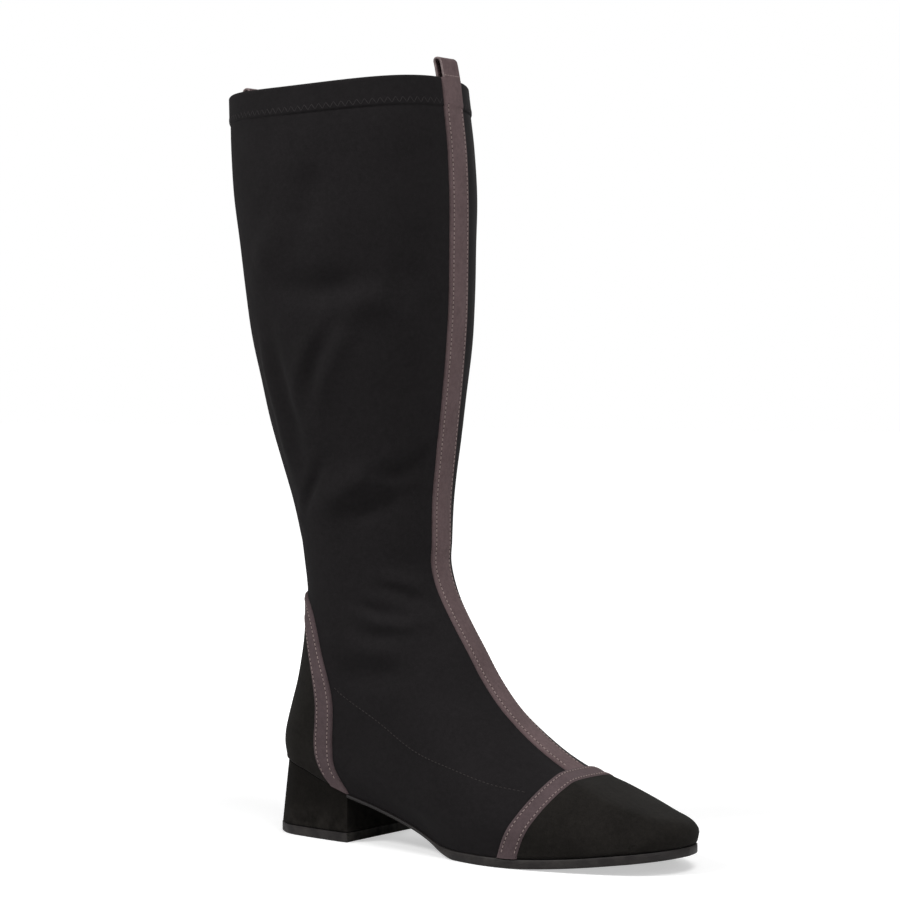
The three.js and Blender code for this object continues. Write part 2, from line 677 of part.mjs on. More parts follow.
// Frame of the slider on the zip: X along the boot, Y out of it and Z up the zip
function zipSeat() {
  const height = SHAFT_HEIGHT - SLIDER_DROP - SLIDER_LENGTH / 2;
  const level = 1 + (height - ANKLE_HEIGHT) / (SHAFT_HEIGHT - ANKLE_HEIGHT);
  const up = (height - ZIP_END) / (SHAFT_HEIGHT - ZIP_END);
  const x = mm(read(ZIP_LINE, "up", "at", up));
  const oval = legOval(height);
  const share = clamp((x - oval.middle) / oval.depth + 0.5);
  const turn = 1 - Math.acos(1 - 2 * share) / (2 * Math.PI);
  const out = outward(level, turn);
  const along = skin(level + SLOPE_STEP, turn, 0).sub(skin(level - SLOPE_STEP, turn, 0));
  const across = new THREE.Vector3().crossVectors(out, along).normalize();
  const rise = new THREE.Vector3().crossVectors(across, out).normalize();
  const frame = new THREE.Matrix4().makeBasis(across, out, rise);
  return frame.setPosition(skin(level, turn, 0));
}

const PIN_HEIGHT = SLIDER_THICKNESS + GAP + PIN / 2;
const AXIS_STEPS = 8;

// An extrusion along X over an outline of out (Y) and up (Z)
function sideways(outline, width) {
  const shape = new THREE.Shape(outline.map(([out, up]) => new THREE.Vector2(out, up)));
  const geometry = new THREE.ExtrudeGeometry(shape, { depth: width, bevelEnabled: false });
  const turned = new THREE.Matrix4().set(0, 0, 1, -width / 2, 1, 0, 0, 0, 0, 1, 0, 0, 0, 0, 0, 1);
  return solid(geometry.applyMatrix4(turned));
}

function sliderBody() {
  const half = SLIDER_LENGTH / 2;
  const shape = new THREE.Shape();
  shape.moveTo(-SLIDER_WIDTH / 2, half);
  shape.lineTo(-SLIDER_WIDTH / 2, half / 3);
  shape.lineTo(-SLIDER_WIDTH / 3, -half);
  shape.lineTo(SLIDER_WIDTH / 3, -half);
  shape.lineTo(SLIDER_WIDTH / 2, half / 3);
  shape.lineTo(SLIDER_WIDTH / 2, half);
  const plate = new THREE.ExtrudeGeometry(shape, { depth: SLIDER_THICKNESS, bevelEnabled: false });
  plate.rotateX(Math.PI / 2).translate(0, SLIDER_THICKNESS, 0);
  const clear = PIN_HEIGHT + PIN / 2 + GAP;
  const reach = BRIDGE_SPAN / 2 + BRIDGE_METAL;
  const bridge = sideways(
    [
      [SLIDER_THICKNESS / 2, -reach],
      [clear, -reach],
      [clear + BRIDGE_METAL, -reach + BRIDGE_METAL],
      [clear + BRIDGE_METAL, reach - BRIDGE_METAL],
      [clear, reach],
      [SLIDER_THICKNESS / 2, reach],
      [SLIDER_THICKNESS / 2, BRIDGE_SPAN / 2],
      [clear, BRIDGE_SPAN / 2],
      [clear, -BRIDGE_SPAN / 2],
      [SLIDER_THICKNESS / 2, -BRIDGE_SPAN / 2],
    ],
    BRIDGE_WIDTH,
  );
  return solid(plate).add(bridge);
}

function pullTab() {
  const cap = Array.from({ length: AXIS_STEPS + 1 }, (_, i) => {
    const a = (Math.PI * i) / AXIS_STEPS;
    return [PIN_HEIGHT + (PIN / 2) * Math.cos(a), (PIN / 2) * Math.sin(a)];
  });
  const low = -TAB_LENGTH + PIN / 2;
  const blade = sideways([...cap, [PIN_HEIGHT - PIN / 2, low], [PIN_HEIGHT + PIN / 2, low]], TAB_WIDTH);
  const eyeWidth = BRIDGE_WIDTH + 2 * GAP;
  const under = PIN_HEIGHT - PIN;
  const over = PIN_HEIGHT + PIN;
  const eye = sideways(
    [[under, -PIN / 2], [under, -PIN / 2 - TAB_EYE], [over, -PIN / 2 - TAB_EYE], [over, -PIN / 2]],
    eyeWidth,
  );
  return blade.subtract(eye);
}

upper();
overlays();
sole();
zip();

// The origin is under the middle of the boot, on the floor
const bounds = new THREE.Box3().setFromObject(boot);
const middle = bounds.getCenter(new THREE.Vector3());
boot.position.set(-middle.x, -middle.y, -bounds.min.z);

export default boot;
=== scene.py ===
"""The looks of a knee-high boot for the right foot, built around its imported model.

Sizes are in millimetres in the boot's own frame: +X to the toe, +Y to the inner side, +Z up,
with x = 0 at the back end of the sole. to_metres() moves points into the model's frame."""
import math

import bmesh
import bpy
import numpy as np
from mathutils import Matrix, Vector


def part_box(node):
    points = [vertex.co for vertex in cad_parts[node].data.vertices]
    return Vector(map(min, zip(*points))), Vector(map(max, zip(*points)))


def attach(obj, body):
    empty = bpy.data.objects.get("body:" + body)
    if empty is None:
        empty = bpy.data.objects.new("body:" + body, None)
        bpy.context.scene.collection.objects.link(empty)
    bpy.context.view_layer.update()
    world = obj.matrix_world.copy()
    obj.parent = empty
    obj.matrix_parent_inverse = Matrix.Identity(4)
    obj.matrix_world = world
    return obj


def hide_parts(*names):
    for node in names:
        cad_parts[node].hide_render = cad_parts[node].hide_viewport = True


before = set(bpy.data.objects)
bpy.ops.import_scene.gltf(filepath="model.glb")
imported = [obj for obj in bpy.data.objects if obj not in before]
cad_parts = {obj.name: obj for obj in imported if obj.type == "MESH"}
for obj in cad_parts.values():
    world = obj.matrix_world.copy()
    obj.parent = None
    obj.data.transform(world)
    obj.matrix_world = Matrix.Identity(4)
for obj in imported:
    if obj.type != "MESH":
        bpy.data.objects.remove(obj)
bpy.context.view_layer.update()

# Driving dimensions of the last and the shaft
SOLE_LENGTH = 250
BALL_WIDTH = 88
SEAT_WIDTH = 57
HEEL_HEIGHT = 40
TOE_SPRING = 8
SHOULDER_HEIGHT = 48
ANKLE_HEIGHT = 158
ANKLE_DEPTH = 84.5
ANKLE_WIDTH = 72
SHAFT_HEIGHT = 397
CALF_DEPTH = 136
CALF_WIDTH = 119
COLLAR_RAKE = 0.054
RIM_WAVE = 1.2
RIM_WAVES = 3
RIM_PHASE = 0.36

# Layers
WALL = 2
GAP = 0.3
HEM_HEIGHT = 15
HEM_STEP = 0.6
SUEDE = 1
BAND_SUEDE = 1.3

# Sole and heel
SOLE_THICKNESS = 5
WAIST_THICKNESS = 2
WELT = 1.2
BREAST = 58
HEEL_RAKE = 5
TOP_PIECE_THICKNESS = 5
INSOLE_THICKNESS = 3

# Front strip and pull loops
STRIP_WIDTH = 16.4
STRIP_SHIFT = 1
LOOP_WIDTH = 15
LOOP_RISE = 11
LOOP_LEG = 14
STRAP = 1.2
LOOP_LEAN = 0.14

# Zip
ZIP_END = 72
SLOT_WIDTH = 8.4
TAPE_WIDTH = 24
SLIDER_WIDTH = 7.2
SLIDER_LENGTH = 9.5
SLIDER_THICKNESS = 2.2
SLIDER_DROP = 9
BRIDGE_WIDTH = 1.6
BRIDGE_SPAN = 3.2
BRIDGE_METAL = 1
PIN = 1
TAB_WIDTH = 4.8
TAB_LENGTH = 13
TAB_EYE = 3.7


def columns(names, rows):
    """A short table as named columns."""
    return dict(zip(names.split(), np.array(rows, float).T))


# Half widths of the feather line: 0 is half the seat width, 1 is half the ball width
OUTLINE = columns("at lateral medial swell", [
    (0.0, -0.48, -0.48, 0.04),
    (0.08, -0.3, -0.3, 0.05),
    (0.16, -0.1, -0.1, 0.06),
    (0.232, 0.0, -0.02, 0.08),
    (0.31, -0.03, -0.13, 0.13),
    (0.39, 0.03, -0.19, 0.15),
    (0.45, 0.23, -0.03, 0.13),
    (0.5, 0.52, 0.23, 0.09),
    (0.56, 0.81, 0.55, 0.06),
    (0.63, 1.0, 0.87, 0.04),
    (0.7, 0.94, 0.97, 0.035),
    (0.76, 0.77, 0.87, 0.035),
    (0.82, 0.55, 0.65, 0.035),
    (0.88, 0.26, 0.32, 0.035),
    (0.94, -0.07, -0.08, 0.035),
    (1.0, -0.26, -0.32, 0.035),
])

# Side line of the sole: shares of the heel's rise, of the toe spring and of the full thickness
SIDE_LINE = columns("at rise spring thick", [
    (0.0, 1.0, 0, 0),
    (0.05, 0.965, 0, 0),
    (0.1, 0.89, 0, 0),
    (0.152, 0.766, 0, 0),
    (0.2, 0.67, 0, 0),
    (0.24, 0.585, 0, 0),
    (0.29, 0.49, 0, 0),
    (0.348, 0.37, 0, 0),
    (0.388, 0.28, 0, 0),
    (0.43, 0.185, 0, 0),
    (0.468, 0.09, 0, 0.06),
    (0.5, 0.03, 0, 0.5),
    (0.532, 0.004, 0, 0.94),
    (0.56, 0, 0, 1),
    (0.62, 0, 0, 1),
    (0.68, 0, 0, 1),
    (0.72, 0, 0.05, 1),
    (0.78, 0, 0.19, 1),
    (0.84, 0, 0.38, 1),
    (0.92, 0, 0.69, 1),
    (1.0, 0, 1, 1),
])

# Ridge of the vamp: shares of the shoulder height, then of the way from there to the ankle
VAMP = columns("at low high reach", [
    (0.998, 0.41, 0, 0.5),
    (0.98, 0.525, 0, 0.52),
    (0.938, 0.61, 0, 0.55),
    (0.875, 0.725, 0, 0.6),
    (0.81, 0.838, 0, 0.68),
    (0.735, 0.96, 0, 0.78),
    (0.652, 1.0, 0.085, 0.9),
    (0.578, 1.0, 0.22, 1.02),
    (0.525, 1.0, 0.36, 1.1),
    (0.483, 1.0, 0.505, 1.1),
    (0.442, 1.0, 0.645, 1.06),
    (0.407, 1.0, 0.782, 1.0),
    (0.391, 1.0, 0.9, 0.97),
])

# Line of the back, up as a share of the way from the heel seat to the ankle
BACK = columns("at up reach", [
    (0.006, 0.07, 0.5),
    (0.01, 0.136, 0.53),
    (0.019, 0.2, 0.56),
    (0.034, 0.29, 0.62),
    (0.048, 0.373, 0.68),
    (0.059, 0.466, 0.76),
    (0.067, 0.56, 0.84),
    (0.071, 0.66, 0.9),
    (0.07, 0.76, 0.94),
    (0.064, 0.87, 0.96),
])
SEAT_AT = 0.01
SEAT_REACH = 0.47

# Ovals of the leg, up as a share of the way from the ankle to the collar
LEG = columns("up middle full", [
    (0.0, 0.224, 0.0),
    (0.1, 0.212, 0.13),
    (0.23, 0.198, 0.4),
    (0.36, 0.19, 0.62),
    (0.49, 0.182, 0.8),
    (0.62, 0.175, 0.9),
    (0.75, 0.167, 0.98),
    (0.86, 0.159, 1.0),
    (1.0, 0.147, 0.95),
])

# Edges of the toe band in side view, up as a share of the shoulder height
TOE_BAND = columns("up rear front", [
    (0.0, 0.652, 0.698),
    (0.25, 0.669, 0.716),
    (0.42, 0.685, 0.731),
    (0.56, 0.7, 0.745),
    (0.71, 0.714, 0.759),
    (0.86, 0.725, 0.77),
    (1.05, 0.731, 0.777),
    (1.25, 0.733, 0.779),
])

# Edges of the heel band in side view, up as a share of the ankle height
HEEL_BAND_FRONT = columns("at up", [
    (0.252, 0.12),
    (0.236, 0.165),
    (0.217, 0.205),
    (0.203, 0.255),
    (0.2, 0.33),
    (0.204, 0.41),
    (0.205, 0.47),
    (0.196, 0.55),
    (0.182, 0.62),
    (0.165, 0.7),
    (0.142, 0.77),
    (0.11, 0.812),
    (0.07, 0.83),
    (-0.08, 0.84),
])
HEEL_BAND_BACK = columns("at up", [
    (0.215, 0.12),
    (0.19, 0.18),
    (0.166, 0.22),
    (0.152, 0.265),
    (0.147, 0.33),
    (0.153, 0.4),
    (0.157, 0.47),
    (0.151, 0.55),
    (0.136, 0.62),
    (0.116, 0.69),
    (0.093, 0.73),
    (0.07, 0.746),
    (-0.08, 0.756),
])

# Middle of the zip in side view, up from its end (0) to the collar (1)
ZIP_LINE = columns("up at", [
    (-0.1, 0.32),
    (0.0, 0.316),
    (0.08, 0.302),
    (0.16, 0.28),
    (0.24, 0.266),
    (0.36, 0.264),
    (0.5, 0.274),
    (0.66, 0.279),
    (0.82, 0.276),
    (0.92, 0.266),
    (1.0, 0.255),
    (1.1, 0.243),
])

# Stitched seam over the side of the foot: along the sole length, up as a share of the ankle height
SIDE_SEAM = columns("at up", [
    (0.212, 0.52),
    (0.236, 0.494),
    (0.324, 0.424),
    (0.432, 0.335),
    (0.54, 0.289),
    (0.632, 0.253),
    (0.7, 0.235),
])

OUTER = -1
INNER = 1


def crease(side, width, height, *places):
    """A soft crease of the fabric on one side of the boot. It runs through a few places in side
    view, at a share of the sole length and up a share of the shaft height. Its width is how far
    it spreads to each side, and its height is above the face, or below it in a trough."""
    return {"side": side, "width": width, "height": height, "places": places}


# Creases, listed from the collar down
CREASES = [
    crease(OUTER, 9, -1.3, (0.225, 0.90), (0.22, 0.86), (0.205, 0.80)),
    crease(OUTER, 10, 1.0, (0.165, 0.83), (0.115, 0.795), (0.05, 0.762)),
    crease(OUTER, 8, -1.5, (0.12, 0.74), (0.24, 0.731), (0.33, 0.742)),
    crease(OUTER, 8, 0.9, (0.27, 0.713), (0.35, 0.716), (0.39, 0.725)),
    crease(OUTER, 9, -1.2, (0.41, 0.775), (0.39, 0.737), (0.37, 0.70)),
    crease(OUTER, 6, 1.0, (0.30, 0.69), (0.265, 0.65), (0.24, 0.62), (0.225, 0.58)),
    crease(OUTER, 6, 0.9, (0.235, 0.69), (0.2, 0.652), (0.172, 0.62), (0.155, 0.59)),
    crease(OUTER, 6, -1.0, (0.265, 0.685), (0.23, 0.65), (0.2, 0.615), (0.185, 0.58)),
    crease(OUTER, 6, 0.9, (0.06, 0.69), (0.07, 0.63), (0.1, 0.56), (0.118, 0.475)),
    crease(OUTER, 6, -0.9, (0.1, 0.68), (0.11, 0.62), (0.14, 0.55), (0.15, 0.50)),
    crease(OUTER, 4.5, -1.7, (0.405, 0.527), (0.38, 0.503), (0.355, 0.493), (0.32, 0.49)),
    crease(OUTER, 8, 1.6, (0.335, 0.497), (0.28, 0.48), (0.225, 0.457), (0.175, 0.444)),
    crease(OUTER, 6, -1.2, (0.36, 0.462), (0.31, 0.449), (0.26, 0.432)),
    crease(OUTER, 4.5, -1.4, (0.22, 0.51), (0.19, 0.493), (0.16, 0.468), (0.125, 0.44)),
    crease(OUTER, 4, 1.0, (0.2, 0.505), (0.17, 0.485), (0.135, 0.455), (0.11, 0.43)),
    crease(OUTER, 4, 0.6, (0.32, 0.356), (0.36, 0.348), (0.395, 0.336)),
    crease(OUTER, 3.6, -0.6, (0.31, 0.343), (0.36, 0.335), (0.405, 0.316)),
    crease(OUTER, 3.6, 0.8, (0.28, 0.312), (0.32, 0.296), (0.373, 0.291), (0.415, 0.297)),
    crease(OUTER, 3.8, -0.75, (0.26, 0.322), (0.31, 0.311), (0.37, 0.305)),
    crease(OUTER, 4.5, -0.6, (0.27, 0.288), (0.32, 0.277), (0.38, 0.275)),
    crease(OUTER, 7, 0.8, (0.23, 0.262), (0.31, 0.257), (0.39, 0.262)),
    crease(OUTER, 7, -0.9, (0.22, 0.232), (0.3, 0.229), (0.4, 0.228)),
    crease(INNER, 10, -1.1, (0.09, 0.87), (0.1, 0.82), (0.12, 0.77)),
    crease(INNER, 9, 1.0, (0.02, 0.80), (0.07, 0.76), (0.13, 0.73)),
    crease(INNER, 7, -1.0, (0.05, 0.71), (0.1, 0.66), (0.15, 0.61)),
    crease(INNER, 7, 0.9, (0.09, 0.71), (0.14, 0.66), (0.18, 0.61)),
    crease(INNER, 7, -0.9, (0.12, 0.50), (0.16, 0.475), (0.2, 0.46)),
    crease(INNER, 8, 0.8, (0.1, 0.475), (0.15, 0.45), (0.2, 0.435)),
    crease(INNER, 5, -0.8, (0.34, 0.497), (0.32, 0.482), (0.3, 0.475)),
    crease(INNER, 5, 0.6, (0.34, 0.472), (0.32, 0.457), (0.3, 0.45)),
    crease(INNER, 5, -0.8, (0.37, 0.296), (0.345, 0.3), (0.32, 0.31)),
    crease(INNER, 5, 0.6, (0.365, 0.325), (0.34, 0.325), (0.315, 0.333)),
    crease(INNER, 5, -1.1, (0.2, 0.345), (0.15, 0.352), (0.11, 0.365)),
    crease(INNER, 6, 0.9, (0.22, 0.318), (0.16, 0.322), (0.12, 0.335)),
]


def mix(a, b, share):
    return a + (b - a) * share


def ease(value):
    value = np.clip(value, 0, 1)
    return value ** 2 * (3 - 2 * value)


def run_of(points):
    """Way along a row of points, from 0 at the first."""
    return np.concatenate([[0], np.cumsum(np.linalg.norm(np.diff(points, axis=0), axis=1))])


def smooth(places, values, at):
    """Smooth curve through values at rising places, with straight ends."""
    last = len(places) - 1
    index = np.arange(last + 1)
    ahead = np.minimum(index + 1, last)
    behind = np.maximum(index - 1, 0)
    slopes = (values[ahead] - values[behind]) / (places[ahead] - places[behind])
    at = np.asarray(at, float)
    i = np.clip(np.searchsorted(places, at) - 1, 0, last - 1)
    span = places[i + 1] - places[i]
    t = np.clip((at - places[i]) / span, 0, 1)
    bend = values[i] * (2 * t ** 3 - 3 * t ** 2 + 1) + values[i + 1] * (3 * t ** 2 - 2 * t ** 3)
    bend = bend + span * (slopes[i] * (t ** 3 - 2 * t ** 2 + t) + slopes[i + 1] * (t ** 3 - t ** 2))
    before = slopes[0] * np.minimum(at - places[0], 0)
    after = slopes[last] * np.maximum(at - places[last], 0)
    return bend + before + after


def read(table, key, name, at):
    return smooth(table[key], table[name], at)


# The sole's side line and outline
def feather_height(x):
    at = np.clip(x / SOLE_LENGTH, 0, 1)
    rise = np.maximum(0, read(SIDE_LINE, "at", "rise", at)) * (HEEL_HEIGHT - SOLE_THICKNESS)
    return SOLE_THICKNESS + rise + np.maximum(0, read(SIDE_LINE, "at", "spring", at)) * TOE_SPRING


def bottom_height(x):
    thick = np.clip(read(SIDE_LINE, "at", "thick", np.clip(x / SOLE_LENGTH, 0, 1)), 0, 1)
    return feather_height(x) - mix(WAIST_THICKNESS, SOLE_THICKNESS, thick)


def feather_half_width(x, side):
    at = np.clip(x / SOLE_LENGTH, 0, 1.02)
    spread = np.where(side < 0, read(OUTLINE, "at", "lateral", at), read(OUTLINE, "at", "medial", at))
    return mix(SEAT_WIDTH, BALL_WIDTH, spread) / 2


def leg_oval(height):
    up = (height - ANKLE_HEIGHT) / (SHAFT_HEIGHT - ANKLE_HEIGHT)
    full = read(LEG, "up", "full", up)
    middle = read(LEG, "up", "middle", up) * SOLE_LENGTH
    return middle, mix(ANKLE_DEPTH, CALF_DEPTH, full), mix(ANKLE_WIDTH, CALF_WIDTH, full)


def leg_edge(height, way):
    middle, depth, _ = leg_oval(height)
    return middle + way * depth / 2


# Front and back line of the boot in side view, with the reach of the rounding beside them
class Line:
    FOOT_STEPS = 240
    LEG_STEPS = 240
    COARSE = 8

    def __init__(self, x, z, reach, ankle, way):
        chords = np.hypot(np.diff(x), np.diff(z))
        self.places = np.concatenate([[0], np.cumsum(chords)])
        self.x = np.array(x, float)
        self.z = np.array(z, float)
        self.ankle = self.places[ankle]
        steps = np.linspace(0, self.ankle, self.FOOT_STEPS + 1)
        foot = np.stack([*self.at(steps), smooth(self.places, np.array(reach, float), steps)], axis=1)
        height = np.linspace(ANKLE_HEIGHT, SHAFT_HEIGHT + HEM_HEIGHT, self.LEG_STEPS + 1)[1:]
        leg = np.stack([leg_edge(height, way), height, leg_oval(height)[1] / 2], axis=1)
        self.points = np.concatenate([foot, leg])

    def at(self, place):
        return smooth(self.places, self.x, place), smooth(self.places, self.z, place)

    def roundness(self, x, z):
        """How far the side stands out at a place, from 0 on the line to 1 where it is upright."""
        coarse = self.points[:: self.COARSE]
        away = (x[:, None] - coarse[None, :, 0]) ** 2 + (z[:, None] - coarse[None, :, 1]) ** 2
        near = np.argmin(away, axis=1) * self.COARSE
        window = np.clip(near[:, None] + np.arange(-self.COARSE, self.COARSE)[None], 0, len(self.points) - 2)
        a = self.points[window]
        step = self.points[window + 1] - a
        along = (x[:, None] - a[..., 0]) * step[..., 0] + (z[:, None] - a[..., 1]) * step[..., 1]
        t = np.clip(along / (step[..., 0] ** 2 + step[..., 1] ** 2), 0, 1)
        far = np.hypot(x[:, None] - a[..., 0] - t * step[..., 0], z[:, None] - a[..., 1] - t * step[..., 1])
        best = np.argmin(far, axis=1)
        rows = np.arange(len(x))
        reach = (a[..., 2] + t * step[..., 2])[rows, best]
        return np.sqrt(1 - (1 - np.clip(far[rows, best] / reach, 0, 1)) ** 2)


HALF_BALL = BALL_WIDTH / 2
leg_heights = np.append(mix(ANKLE_HEIGHT, SHAFT_HEIGHT, LEG["up"]), SHAFT_HEIGHT + HEM_HEIGHT)
leg_reach = leg_oval(leg_heights)[1] / 2
TOE_X = SOLE_LENGTH - WELT
SEAT_X = SEAT_AT * SOLE_LENGTH
toe_z = float(feather_height(SOLE_LENGTH))
seat_z = float(feather_height(0.0))
vamp_z = VAMP["low"] * SHOULDER_HEIGHT + VAMP["high"] * (ANKLE_HEIGHT - SHOULDER_HEIGHT)
front_line = Line(
    np.concatenate([[TOE_X], VAMP["at"] * SOLE_LENGTH, leg_edge(leg_heights, 1)]),
    np.concatenate([[toe_z], vamp_z, leg_heights]),
    np.concatenate([[VAMP["reach"][0] * HALF_BALL], VAMP["reach"] * HALF_BALL, leg_reach]),
    ankle=1 + len(VAMP["at"]),
    way=1,
)
back_line = Line(
    np.concatenate([[SEAT_X], BACK["at"] * SOLE_LENGTH, leg_edge(leg_heights, -1)]),
    np.concatenate([[seat_z], mix(HEEL_HEIGHT, ANKLE_HEIGHT, BACK["up"]), leg_heights]),
    np.concatenate([[SEAT_REACH * HALF_BALL], BACK["reach"] * HALF_BALL, leg_reach]),
    ankle=1 + len(BACK["at"]),
    way=-1,
)
front_ankle = front_line.ankle
back_ankle = back_line.ankle

SWELL_HEIGHT = 16
LEG_BLEND = 0.8
FOLLOW = 0.5
SLOPE_STEP = 1e-3
HIGHEST_LEVEL = 2.1


def half_width(x, z, side):
    over = ease((z - feather_height(x)) / SWELL_HEIGHT)
    swell = read(OUTLINE, "at", "swell", np.clip(x / SOLE_LENGTH, 0, 1)) * HALF_BALL * over
    foot = feather_half_width(x, side) + swell
    leg = leg_oval(np.maximum(z, ANKLE_HEIGHT))[2] / 2
    up = ease((z - HEEL_HEIGHT) / (LEG_BLEND * ANKLE_HEIGHT - HEEL_HEIGHT))
    return mix(foot, leg, up)


def side_place(level, share, turn):
    """x and z at a level (0 feather line, 1 ankle, 2 collar) and a share of the way from the
    back to the front, and the lift of the rim there."""
    foot = np.minimum(level, 1)
    height = mix(ANKLE_HEIGHT, SHAFT_HEIGHT, np.maximum(level - 1, 0))
    front_x, front_z = front_line.at(foot * front_ankle)
    back_x, back_z = back_line.at(foot * back_ankle)
    on_leg = level >= 1
    front_x = np.where(on_leg, leg_edge(height, 1), front_x)
    back_x = np.where(on_leg, leg_edge(height, -1), back_x)
    front_z = np.where(on_leg, height, front_z)
    back_z = np.where(on_leg, height, back_z)
    x = mix(back_x, front_x, share)
    sag = feather_height(x) - mix(seat_z, toe_z, (x - SEAT_X) / (TOE_X - SEAT_X))
    z = mix(back_z, front_z, share) + np.clip(1 - foot / FOLLOW, 0, None) ** 2 * sag
    rim = np.maximum(level - 1, 0) ** 2
    wave = RIM_WAVE * np.sin(2 * np.pi * RIM_WAVES * (turn - RIM_PHASE))
    return x, z, rim * (COLLAR_RAKE * (x - leg_oval(height)[0]) + wave)


# Turns from the front or back ridge within which the sides close on it, and how far they stand
# out from it there at the least, for each turn
RIDGE_TURN = 0.05
LEAST_SPREAD = 100


def breadth(x, z, side):
    return half_width(x, z, side) * front_line.roundness(x, z) * back_line.roundness(x, z)


def bare_skin(level, turn):
    """Places of the upper's outside. The turn runs from the back (0) over the outer side (0.25)
    to the front (0.5) and back over the inner side."""
    level, turn = np.broadcast_arrays(np.asarray(level, float), np.asarray(turn, float))
    shape = level.shape
    level = level.ravel()
    turn = turn.ravel()
    share = (1 - np.cos(2 * np.pi * turn)) / 2
    x, z, lift = side_place(level, share, turn)
    side = np.where(np.sin(2 * np.pi * turn) > 0, -1.0, 1.0)
    reach = breadth(x, z, side)
    ridge_away = np.abs(2 * turn - np.round(2 * turn)) / 2
    near = ridge_away < RIDGE_TURN
    end_x, end_z, _ = side_place(level[near], np.round(share[near]), turn[near])
    reach[near] -= breadth(end_x, end_z, side[near]) * (1 - ridge_away[near] / RIDGE_TURN) ** 2
    reach[near] = np.maximum(reach[near], LEAST_SPREAD * ridge_away[near])
    return np.stack([x, side * reach, z + lift], axis=1).reshape(*shape, 3)


def unit(vectors):
    return vectors / np.maximum(np.linalg.norm(vectors, axis=-1, keepdims=True), 1e-12)


def outward(level, turn):
    level, turn = np.broadcast_arrays(np.asarray(level, float), np.asarray(turn, float))
    above = bare_skin(np.minimum(level + SLOPE_STEP, HIGHEST_LEVEL), turn)
    up = above - bare_skin(np.maximum(level - SLOPE_STEP, 0), turn)
    round_ = bare_skin(level, turn + SLOPE_STEP) - bare_skin(level, turn - SLOPE_STEP)
    normal = np.cross(round_, up)
    normal[..., 2] = np.where(level <= 0, 0, normal[..., 2])
    return unit(normal)


def turn_of(share, side):
    turn = np.arccos(1 - 2 * np.clip(share, 0, 1)) / (2 * np.pi)
    return np.where(np.asarray(side) < 0, turn, 1 - turn)


def place_of(x, z, side):
    """Level and share of places given in side view, on one side of the boot."""
    levels, shares = np.meshgrid(np.linspace(0, 2, 81), np.linspace(0, 1, 41), indexing="ij")
    grid_x, grid_z, lift = side_place(levels, shares, turn_of(shares, side))
    away = (x[:, None] - grid_x.ravel()) ** 2 + (z[:, None] - (grid_z + lift).ravel()) ** 2
    near = np.argmin(away, axis=1)
    level = levels.ravel()[near]
    share = shares.ravel()[near]
    step = 1e-4

    def here(some_level, some_share):
        px, pz, up = side_place(some_level, some_share, turn_of(some_share, side))
        return px, pz + up

    for _ in range(10):
        px, pz = here(level, share)
        ax, az = here(level + step, share)
        bx, bz = here(level, share + step)
        a, b, c, d = (ax - px) / step, (bx - px) / step, (az - pz) / step, (bz - pz) / step
        det = a * d - b * c
        level = level + ((x - px) * d - b * (z - pz)) / det
        share = share + (a * (z - pz) - (x - px) * c) / det
    return level, share


# The zip's line and the soft creases of the fabric
def zip_x(z):
    return read(ZIP_LINE, "up", "at", (z - ZIP_END) / (SHAFT_HEIGHT - ZIP_END)) * SOLE_LENGTH


def zip_turn(level, offset=0.0):
    """Turn of the zip's line at a level, or of a line beside it."""
    share = np.full(np.shape(level), 0.5)
    for _ in range(12):
        turn = turn_of(share, INNER)
        _, z, lift = side_place(level, share, turn)
        back_x, _, _ = side_place(level, np.zeros_like(share), turn)
        front_x, _, _ = side_place(level, np.ones_like(share), turn)
        share = np.clip((zip_x(z + lift) + offset - back_x) / (front_x - back_x), 0.02, 0.98)
    return turn_of(share, INNER)


ZIP_CALM = 14
FEATHER_CALM = 14
STRIP_CALM = 9
HEEL_CALM = 12
TOE_CALM = 24
TOE_SLANT = 0.35
TOE_CALM_UP = 20
BAND_CALM = 10
ZIP_CLEAR = 6
ZIP_CALM_DROP = 12
FAR = 99
FRONT_REACH = 20
RIM_SHARE = 0.45
STRIP_SHARE = 0.3
CREASE_DEPTH = 2.5
CREASE_FADE = 0.4
TIP_SHARE = 0.25

# Slow waves of the cloth: a height, and two crossing waves by their pace along x, y and z and start
WAVES = (
    (0.28, (0.061, 0.045, 0.037, 0.6), (-0.029, 0, 0.043, 1.9)),
    (0.16, (0.11, 0, -0.083, 0.4), (0, 0.097, 0.071, 0)),
)


def crease_lines():
    lines = []
    for crease in CREASES:
        places = np.array(crease["places"]) * [SOLE_LENGTH, SHAFT_HEIGHT]
        level, share = place_of(places[:, 0], places[:, 1], crease["side"])
        points = bare_skin(level, turn_of(np.clip(share, 0.01, 0.99), crease["side"]))
        lines.append((points, crease["width"], crease["height"]))
    return lines


CREASE_LINES = crease_lines()


